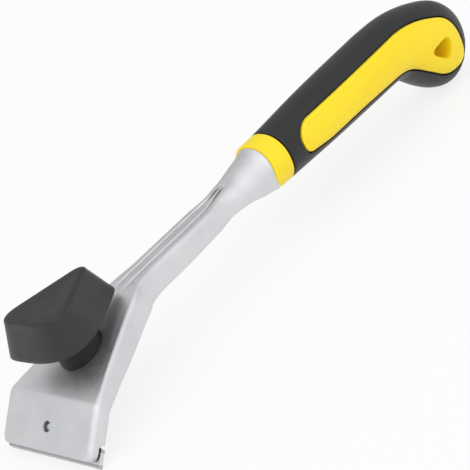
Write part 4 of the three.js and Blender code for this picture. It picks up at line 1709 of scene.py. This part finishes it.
        # Name, radius, lower and upper end, and how far the edges are eased
        bars = (
            ("hub_boss", self.boss_radius, low + 0.5, top, 0.4),
            ("hub_pad", self.washer_radius, foot, low + self.hub_plate / 2, 0.3),
        )
        joined = []
        for name, radius, under, over, edge in bars:
            profile = rounded_profile([(0, under), (radius, under), (radius, over), (0, over)], edge)
            joined.append(bench.raw(name, lathe(profile), self.arm.axis()))
        bench.cut(hub, joined, "UNION")
        wide, narrow = self.insert_flange, self.insert_radius
        below, above = foot - self.arm.overrun, top + self.arm.overrun
        step = foot + self.insert_flange_height + self.gap
        space = bench.raw("hub_space", lathe([
            (0, below), (wide, below), (wide, step), (narrow, step), (narrow, above), (0, above),
        ]), self.arm.axis())
        bench.cut(hub, [space])
        bench.finish(hub, ACETAL, Body.KNOB, ["knob_hub"])


# Handle


@dataclass
class GripHandle:
    """A yellow core with collar and side pads, under a black soft grip."""

    arm: ArmPressing
    length: float = 159.0
    height: float = 31.5
    half_width: float = 15.4
    collar_length: float = 11.5
    collar_round: float = 0.9
    collar_rear_round: float = 0.4
    grip_round: float = 0.8
    skin: float = 3.0
    core_depth: float = 2.3
    pad_rise: float = 0.5
    pad_bevel: float = 1.7
    pad_wall: float = 2.6
    crease_depth: float = 0.22
    power: float = 2.2
    flare: float = 1.08
    flare_depth: float = 2.0
    heel_bulge: float = 0.3
    ramp_drop: float = 8.3
    ramp_slope: float = 0.6
    parting: float = 0.75
    parting_floor: float = 1.1
    gap: float = 0.3
    lip_gap: float = 0.05
    edge_spacing: float = 1.6
    arc_steps: int = 2000
    end_share: float = 0.985
    clearance: float = 1.05
    collar_points: int = 112
    core_points: int = 72
    grip_points: int = 49
    upper_shares: tuple[tuple[float, float], ...] = (
        (0.0063, 0.411), (0.0743, 0.423), (0.2841, 0.483), (0.4886, 0.511), (0.6226, 0.52),
        (0.7186, 0.487), (0.8154, 0.364), (0.8998, 0.163), (0.9435, -0.106), (0.951, -0.369),
        (0.9257, -0.667),
    )
    lower_shares: tuple[tuple[float, float], ...] = (
        (-0.0137, -0.386), (0.0743, -0.398), (0.2884, -0.421), (0.4884, -0.426), (0.5954, -0.433),
        (0.6411, -0.474), (0.672, -0.625), (0.7104, -0.821), (0.764, -1.024), (0.8131, -1.109),
        (0.8671, -1.039),
    )
    width_shares: tuple[float, ...] = (0.837, 0.853, 0.944, 0.99, 1, 1, 1, 0.982, 0.93, 0.815, 0.592)
    pad_corners: tuple[tuple[float, float, float], ...] = (
        (0.1358, -0.156, 0.48), (0.2434, -0.221, 0.16), (0.3793, -0.2, 0.5), (0.6352, -0.237, 0.34),
        (0.7864, -0.864, 0.37), (0.883, -0.83, 0.48), (0.877, -0.058, 0.43), (0.7029, 0.355, 0.48),
        (0.1686, 0.29, 0.5), (0.128, 0.125, 0.47),
    )
    hole_corners: tuple[tuple[float, float, float], ...] = (
        (0.7259, -0.293, 0.38), (0.8046, -0.639, 0.41), (0.8356, -0.242, 0.58),
    )

    def __post_init__(self) -> None:
        """Work out the handle's own lines."""
        bell_y, bell_z = (float(v) for v in self.arm.line(self.arm.bell))
        self.front = bell_y + self.gap
        self.grip_front = self.front + self.collar_length
        self.axis_z = bell_z + self.arm.bell_rise - self.arm.bell_radius
        self.upper = FlowLine([self.beside(*share) for share in self.upper_shares])
        self.lower = FlowLine([self.beside(*share) for share in self.lower_shares])
        keys = len(self.width_shares) - 1
        self.wide = Rail([(i / keys, self.half_width * share) for i, share in enumerate(self.width_shares)])
        shares = np.linspace(0, 1, self.arc_steps + 1)
        middle = (self.upper(shares) + self.lower(shares)) / 2
        self.arc_shares = shares
        self.arc = np.concatenate([[0], np.cumsum(np.linalg.norm(np.diff(middle, axis=0), axis=1))])

    def beside(self, along: float, up: float) -> tuple[float, float]:
        """Give Y and Z of a place stated in shares of the handle's length and height."""
        return self.front + self.length * along, self.axis_z + self.height * up

    def share_at(self, walked: float | Points) -> Points:
        """Turn millimetres along the handle into a share of its line."""
        return np.interp(walked, self.arc, self.arc_shares)

    def walked_at(self, share: float | Points) -> Points:
        """Turn a share of the handle's line into millimetres."""
        return np.interp(share, self.arc_shares, self.arc)

    def surface(self, share: Points, turn: Points, inset: float | Points = 0.0) -> Points:
        """Give points of the handle's skin.

        Args:
            share: Shares along the handle's line; above 1 they run over the rounded end.
            turn: Angles round the section, a right angle being its top.
            inset: Lengths by which the points lie under the skin.

        Returns:
            The points in three dimensions.
        """
        share, turn = np.broadcast_arrays(np.asarray(share, float), np.asarray(turn, float))
        along = np.minimum(share, 1)
        upper, lower = self.upper(along), self.lower(along)
        middle, across = (upper + lower) / 2, upper - lower
        reach = np.linalg.norm(across, axis=1)
        up = across / reach[:, None]
        high, wide = reach / 2 - inset, self.wide(along) - inset
        power = 2 / self.power
        side = np.sign(np.cos(turn)) * np.abs(np.cos(turn)) ** power * wide
        rise = np.sign(np.sin(turn)) * np.abs(np.sin(turn)) ** power * high
        dome = np.clip(share - 1, 0, 1) * QUARTER
        before = (self.upper(self.end_share) + self.lower(self.end_share))[0] / 2
        end = (self.upper(1.0) + self.lower(1.0))[0] / 2
        onward = (end - before) / np.linalg.norm(end - before)
        bulge = np.sin(dome) ** 2
        push = (reach / 2 - inset) * self.heel_bulge * bulge
        flat = middle + up * (rise * np.cos(dome))[:, None] + onward * push[:, None]
        return np.column_stack([side * np.sqrt(1 - bulge**2), flat])

    def unfold(self, flat: Points) -> tuple[Points, Points]:
        """Find where points of the side view lie on the handle's skin.

        Args:
            flat: Points of Y and Z.

        Returns:
            Their shares along the handle, and their rise from -1 to 1.
        """
        low, high = np.zeros(len(flat)), np.ones(len(flat))

        def beyond(share: Points) -> Points:
            """Give a value below 0 where the points lie ahead of a section.

            Args:
                share: Share of the section, one for each point.

            Returns:
                The values.
            """
            lower = self.lower(share)
            across, to = self.upper(share) - lower, flat - lower
            return across[:, 0] * to[:, 1] - across[:, 1] * to[:, 0]

        for _ in range(HALVINGS):
            half = (low + high) / 2
            ahead = beyond(half) < 0
            low, high = np.where(ahead, half, low), np.where(ahead, high, half)
        share = (low + high) / 2
        lower = self.lower(share)
        across = self.upper(share) - lower
        rise = ((flat - lower) * across).sum(axis=1) / (across**2).sum(axis=1) * 2 - 1
        return share, np.clip(rise, -0.999, 0.999)

    def turn_of(self, rise: Points) -> Points:
        """Turn a rise from -1 to 1 into an angle round the section."""
        return np.arcsin(np.sign(rise) * np.abs(rise) ** (self.power / 2))

    def on_side(self, flat: Points, lift: float | Points = 0.0) -> Points:
        """Lay points of the side view onto the handle's near side.

        Args:
            flat: Points of Y and Z.
            lift: Lengths by which they stand out along X.

        Returns:
            The points in three dimensions.
        """
        share, rise = self.unfold(flat)
        out = (1 - np.abs(rise) ** self.power) ** (1 / self.power) * self.wide(share)
        return np.column_stack([out + lift, flat])

    def drawn(self, corners: Sequence[Sequence[float]], spacing: float) -> Points:
        """Draw an anticlockwise outline of the side view.

        Args:
            corners: Its corners in shares of the handle, and the share by which each is eased.
            spacing: About how far apart its points are.

        Returns:
            The outline.
        """
        points = eased_outline([Corner(self.beside(a, b), 0.0, share) for a, b, share in corners], 20)
        outline = even_outline(points, spacing)
        return outline if self.area(outline) > 0 else outline[::-1]

    def fill(
        self, loops: Sequence[Points], hole: Points | None, spacing: float, margin: float
    ) -> tuple[Points, Faces]:
        """Fill a region of a plane with even triangles.

        Args:
            loops: Closed outlines whose points are kept; the first is the outer one.
            hole: The inner outline that stays open, if there is one.
            spacing: Distance between inner points.
            margin: Least distance of inner points from the outlines.

        Returns:
            All points, the outlines' first and in order, and the triangles.
        """
        # Rows this much closer than their points give triangles of even sides
        row_share = 0.87
        outer = loops[0]
        low, high = outer.min(axis=0), outer.max(axis=0)
        xs = np.arange(low[0], high[0], spacing)
        ys = np.arange(low[1], high[1], spacing * row_share)
        grid = np.array([(x + (j % 2) * spacing / 2, y) for j, y in enumerate(ys) for x in xs])
        keep = inside(grid, outer)
        if hole is not None:
            keep &= ~inside(grid, hole)
        grid = grid[keep]
        grid = grid[distance(grid, np.vstack(loops)) > margin]
        points = np.vstack([*loops, grid])
        edges, start = [], 0
        for loop in loops:
            edges += [(start + i, start + (i + 1) % len(loop)) for i in range(len(loop))]
            start += len(loop)
        # A trace of waviness, in this filling alone, keeps a straight edge from losing its points
        trace, beat = 0.003, 2.4
        wave = trace * np.sin(np.arange(len(points)) * beat)
        near = points + np.column_stack([wave * 0.6, wave])
        _, _, faces, origins, _, _ = delaunay_2d_cdt([Vector(p) for p in near], edges, [], 0, 1e-9)
        index = [origin[0] if origin else 0 for origin in origins]
        triangles = np.array([[index[k] for k in face] for face in faces])
        centres = near[triangles].mean(axis=1)
        keep = inside(centres, near[:len(outer)])
        if hole is not None:
            keep &= ~inside(centres, near[len(outer):len(outer) + len(hole)])
        return points, [tuple(face) for face in triangles[keep].tolist()]

    def build(self, bench: Bench) -> None:
        """Make the core with its collar and pads, and the grip; the pins keep their CAD shape.

        Args:
            bench: Where they are made.
        """
        self.pad = self.drawn(self.pad_corners, spacing=1.1)
        self.hole = self.drawn(self.hole_corners, spacing=0.6)
        core = self.pads().mirrored().joined(self.collar()).joined(self.inner())
        moulded = bench.raw("yellow_core", core)
        bench.finish(moulded, YELLOW, Body.FRAME, ["handle_core"], crease=42)
        grip = bench.raw("soft_grip", self.grip().mirrored())
        bench.finish(grip, RUBBER, Body.FRAME, ["handle_grip"], crease=48)
        bench.keep("tang_pin_1", ZINC_STEEL)
        bench.keep("tang_pin_2", ZINC_STEEL)

    def area(self, outline: Points) -> float:
        """Give an outline's area, positive where it runs anticlockwise."""
        x, y = outline[:, 0], outline[:, 1]
        return float((x * np.roll(y, -1) - y * np.roll(x, -1)).sum() / 2)

    def pads(self) -> Shell:
        """Draw the near pad with its bevel, its crease line and half of the hang hole.

        Returns:
            The near half of what shows through the grip's window.
        """
        out, face_rise = outward(self.pad), self.pad_rise
        # Depth in from the pad's outline, and rise over the handle's skin
        steps = [
            (0.0, -self.pad_wall), (0.0, -0.2), (0.06, 0.0), (0.16, 0.1), (0.35, 0.16),
            (self.pad_bevel - 0.16, face_rise - 0.05), (self.pad_bevel, face_rise - self.crease_depth),
            (self.pad_bevel + 0.18, face_rise - 0.02), (self.pad_bevel + 0.5, face_rise),
        ]
        rings = [self.on_side(self.pad - out * depth, lift) for depth, lift in steps]
        band = loft(rings)
        middle = self.hole.mean(axis=0)
        mouth = (self.hole - middle) * self.flare + middle
        swell = outward(mouth)
        # Distance out from the hole's mouth, and rise over the pad's face
        hole_steps = [(0.9, 0.0), (0.5, -0.03), (0.25, -0.12), (0.08, -0.3), (0.0, -0.55)]
        hole_rings = [self.on_side(mouth + swell * far, face_rise + lift) for far, lift in hole_steps]
        surface = self.on_side(self.hole, face_rise)[:, 0]
        for share in (0.35, 0.7, 1.0):
            sunk = surface + hole_steps[-1][1] - (self.flare_depth - 0.4) * share
            hole_rings.append(np.column_stack([sunk, mix(mouth, self.hole, share)]))
        hole_rings += [np.column_stack([surface * deep, self.hole]) for deep in (0.7, 0.35, 0.0)]
        tube = loft(hole_rings)
        inner_loop = self.pad - out * steps[-1][0]
        hole_loop = mouth + swell * hole_steps[0][0]
        points, faces = self.fill([inner_loop, hole_loop], hole_loop, spacing=1.6, margin=0.7)
        panel = Shell(self.on_side(points, face_rise), faces)
        return band.joined(tube).joined(panel)

    def collar(self) -> Shell:
        """Draw the collar ring between the bell and the grip, with a ramp below that meets the bell.

        Returns:
            The ring.
        """
        count, radius, rear_radius = self.collar_points, self.collar_round, self.collar_rear_round
        turns = circle(count)
        rear = self.plane_share(turns, self.grip_front - self.parting - self.lip_gap)
        # Depths of the front face's rings, from the middle out
        face_depths = (9.5, 4.0, radius + 0.3)
        rings = [self.surface(np.zeros(count), turns, inset) for inset in face_depths]
        for turn in quarter(5, 0):
            share = self.share_at(radius * (1 - math.cos(turn)))
            rings.append(self.surface(np.full(count, share), turns, radius * (1 - math.sin(turn))))
        start, back = self.share_at(radius), self.share_at(rear_radius)
        for k in range(1, 9):
            rings.append(self.surface(mix(start, rear - back, k / 8), turns))
        for turn in quarter(4):
            share = rear - back * (1 - math.sin(turn))
            rings.append(self.surface(share, turns, rear_radius * (1 - math.cos(turn))))
        rings.append(self.surface(rear, turns, self.skin))
        ring = loft(rings)
        lowest = self.axis_z - self.ramp_drop - (ring.points[:, 1] - self.front) * self.ramp_slope
        ring.points[:, 2] = np.maximum(ring.points[:, 2], lowest)
        return ring

    def inner(self) -> Shell:
        """Draw the core under the grip, with room for the hang hole.

        Returns:
            The core's skin.
        """
        count, turns = self.core_points, circle(self.core_points)
        # The body's sections up to share 1, and from there those of the domed end
        shares = np.concatenate([np.linspace(0.03, 1, 60), np.linspace(1.1, 1.95, 8)])
        rings = [self.surface(np.full(count, share), turns, self.core_depth) for share in shares]
        skin = loft(rings, caps=True)
        middle = self.hole.mean(axis=0)
        wide = (self.hole - middle) * self.clearance + middle
        clear = ~inside(skin.points[:, 1:], wide)
        faces = [face for face in skin.faces if all(clear[k] for k in face)]
        return Shell(skin.points, faces)

    def plane_share(self, turns: Points, y: float) -> Points:
        """Find the shares at which the skin crosses a plane of constant Y.

        Args:
            turns: Angles round the section.
            y: The plane's Y.

        Returns:
            A share for each angle.
        """
        low, high = np.zeros(len(turns)), np.full(len(turns), 0.4)
        for _ in range(HALVINGS):
            half = (low + high) / 2
            short = self.surface(half, turns)[:, 1] < y
            low, high = np.where(short, half, low), np.where(short, high, half)
        return (low + high) / 2

    def grip(self) -> Shell:
        """Draw the near half of the soft grip with its window round the pad.

        Returns:
            The near half, open along the middle plane.
        """
        radius = self.grip_round
        turns = np.linspace(-QUARTER, QUARTER, self.grip_points)
        lip = [
            (self.grip_front - self.parting, self.skin), (self.grip_front - self.parting, self.parting_floor),
            (self.grip_front, self.parting_floor),
        ]
        rings = [self.surface(self.plane_share(turns, y), turns, inset) for y, inset in lip]
        for turn in quarter(5, 0):
            share = self.plane_share(turns, self.grip_front + radius * (1 - math.cos(turn)))
            rings.append(self.surface(share, turns, radius * (1 - math.sin(turn))))
        front = loft(rings, closed=False)
        start = self.plane_share(turns, self.grip_front + radius)
        # The end stops just short of share 2, where all its points would meet
        shares = np.linspace(1, 1.999, 14)
        dome = loft([self.surface(np.full(self.grip_points, share), turns) for share in shares], closed=False)
        out = outward(self.pad)
        sill = self.pad + out * self.parting
        # Distance out from the window's edge, and depth under the handle's skin
        steps = [(0.0, 0.6), (0.08, 0.32), (0.24, 0.11), (0.55, 0.0)]
        flats = [sill + out * far for far, _ in steps]
        bands = [self.on_side(flat, -self.parting_floor) for flat in (self.pad + out * 0.03, sill)]
        bands += [self.on_side(flat, -drop) for flat, (_, drop) in zip(flats, steps)]
        window = loft(bands)
        share, rise = self.unfold(flats[-1])
        # Turns an angle into about the length of skin that it spans
        scale = self.half_width * 0.95
        loop = np.column_stack([self.walked_at(share), self.turn_of(rise) * scale])

        def run(turn: float, from_share: float) -> Points:
            """Draw the half's edge, unrolled, from a share to the handle's end.

            Args:
                turn: The edge's angle round the section.
                from_share: The share.

            Returns:
                The edge's points.
            """
            first, last = float(self.walked_at(from_share)), float(self.arc[-1])
            count = int((last - first) / self.edge_spacing)
            return np.column_stack([np.linspace(first, last, count + 1), np.full(count + 1, turn * scale)])

        low, high = run(-QUARTER, start[0]), run(QUARTER, start[-1])[::-1]
        rear = np.column_stack([np.full(self.grip_points, self.arc[-1]), turns * scale])[1:-1]
        near = np.column_stack([self.walked_at(start), turns * scale])[::-1][1:-1]
        outer = np.vstack([low, rear, high, near])
        points, faces = self.fill([outer, loop], loop, spacing=1.5, margin=0.7)
        skin = Shell(self.surface(self.share_at(points[:, 0]), points[:, 1] / scale), faces)
        skin.points[len(outer):len(outer) + len(loop)] = self.on_side(flats[-1])
        return front.joined(dome).joined(window).joined(skin)


# Studio


@dataclass(frozen=True)
class Lamp:
    """A soft square lamp that points at the object, in metres and watts."""

    name: str
    place: tuple[float, float, float]
    side: float
    watts: float

    def hang(self) -> None:
        """Make the lamp and turn it to the object."""
        light = bpy.data.lights.new(self.name, "AREA")
        light.energy = self.watts
        light.shape = "SQUARE"
        light.size = self.side
        hung = bpy.data.objects.new(self.name, light)
        hung.location = self.place
        hung.rotation_euler = Vector(self.place).to_track_quat("Z", "Y").to_euler()
        bpy.context.scene.collection.objects.link(hung)


@dataclass
class Studio:
    """A pale floor, a soft world, three soft lamps and the camera."""

    camera_place: tuple[float, float, float] = (563.58, -425.947, 349.49)
    camera_right: tuple[float, float, float] = (0.6775, 0.61829, -0.39839)
    camera_up: tuple[float, float, float] = (-0.05609, 0.5835, 0.81018)
    camera_back: tuple[float, float, float] = (0.73338, -0.52655, 0.43)
    lens: float = 130.44
    sensor: float = 36.0
    nearest_seen: float = 0.01
    floor_side: float = 8.0
    floor_colour: str = "#F2F2F2"
    floor_white: float = 0.8
    bright_side: tuple[float, float, float] = (0.75, -0.35, 0.0)
    bright_range: tuple[float, float] = (-0.75, 0.2)
    world_dark: float = 0.52
    world_bright: float = 0.88
    lamps: tuple[Lamp, ...] = (
        Lamp("lamp_overhead", (0.3, -0.3, 1.6), 2.8, 8.0),
        Lamp("lamp_left", (-1.5, -0.7, 1.0), 2.4, 3.0),
        Lamp("lamp_right", (1.6, -0.4, 0.8), 2.6, 8.0),
    )

    def build(self) -> None:
        """Make the floor, the world, the lamps and the camera."""
        self.build_floor()
        self.build_world()
        for lamp in self.lamps:
            lamp.hang()
        self.build_camera()
        bpy.context.scene.view_settings.view_transform = "Standard"

    def build_floor(self) -> None:
        """Make a pale floor that the camera sees as white, with the object's shadow."""
        side = self.floor_side / 2
        mesh = bpy.data.meshes.new("floor")
        square = [(-side, -side, 0), (side, -side, 0), (side, side, 0), (-side, side, 0)]
        mesh.from_pydata(square, [], [(0, 1, 2, 3)])
        floor = bpy.data.objects.new("floor", mesh)
        bpy.context.scene.collection.objects.link(floor)
        paper = bpy.data.materials.new("studio_paper")
        paper.use_nodes = True
        tree = paper.node_tree
        tree.nodes.remove(tree.nodes["Principled BSDF"])
        lit = add_node(tree, "ShaderNodeBsdfDiffuse", {"Color": linear(self.floor_colour)})
        bright = add_node(tree, "ShaderNodeEmission", {"Color": linear("#FFFFFF"), "Strength": 1.0})
        path = add_node(tree, "ShaderNodeLightPath")
        seen = add_node(
            tree, "ShaderNodeMath", {"operation": "MAXIMUM"},
            {0: path.outputs["Is Camera Ray"], 1: path.outputs["Is Glossy Ray"]},
        )
        part = add_node(
            tree, "ShaderNodeMath", {"operation": "MULTIPLY", 1: self.floor_white}, {0: seen.outputs[0]}
        )
        mixed = add_node(
            tree, "ShaderNodeMixShader", {}, {0: part.outputs[0], 1: lit.outputs[0], 2: bright.outputs[0]}
        )
        tree.links.new(mixed.outputs[0], tree.nodes["Material Output"].inputs["Surface"])
        mesh.materials.append(paper)

    def build_world(self) -> None:
        """Make a plain world, a little brighter on one side."""
        world = bpy.data.worlds.new("soft_studio")
        world.use_nodes = True
        bpy.context.scene.world = world
        tree = world.node_tree
        where = add_node(tree, "ShaderNodeTexCoord")
        towards = add_node(
            tree, "ShaderNodeVectorMath", {"operation": "DOT_PRODUCT", 1: self.bright_side},
            {0: where.outputs["Generated"]},
        )
        low, high = self.bright_range
        shade = add_node(
            tree, "ShaderNodeMapRange",
            {"From Min": low, "From Max": high, "To Min": self.world_dark, "To Max": self.world_bright},
            {"Value": towards.outputs["Value"]},
        )
        tree.links.new(shade.outputs[0], tree.nodes["Background"].inputs["Strength"])
        tree.nodes["Background"].inputs["Color"].default_value = linear("#FFFFFF")
        path = add_node(tree, "ShaderNodeLightPath")
        white = add_node(tree, "ShaderNodeBackground", {"Color": linear("#FFFFFF"), "Strength": 1.0})
        mixed = add_node(tree, "ShaderNodeMixShader", {}, {
            0: path.outputs["Is Camera Ray"], 1: tree.nodes["Background"].outputs[0], 2: white.outputs[0],
        })
        tree.links.new(mixed.outputs[0], tree.nodes["World Output"].inputs["Surface"])

    def build_camera(self) -> None:
        """Set the camera where the photograph was taken from."""
        lens = bpy.data.cameras.new("camera")
        lens.lens = self.lens
        lens.sensor_width = self.sensor
        lens.clip_start = self.nearest_seen
        camera = bpy.data.objects.new("camera", lens)
        turn = Matrix((self.camera_right, self.camera_up, self.camera_back)).transposed()
        camera.matrix_world = Matrix.Translation(Vector(self.camera_place) * MM) @ turn.to_4x4()
        bpy.context.scene.collection.objects.link(camera)
        bpy.context.scene.camera = camera


def corners(box: Sequence[Sequence[float]]) -> list[list[float]]:
    """Give a box's two corners as plain lists."""
    return [[float(value) for value in corner] for corner in box]


def main() -> None:
    """Build the object around the CAD frame, dress it and light it."""
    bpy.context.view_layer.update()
    Studio().build()
    bench = Bench()
    arm = ArmPressing()
    arm.build(bench)
    BladeAndSeat(arm).build(bench)
    ClampSet(arm).build(bench)
    PalmKnob(arm).build(bench)
    GripHandle(arm).build(bench)
    LOG.info("%d pieces made", len(bench.made))


if __name__ == "__main__":
    main()
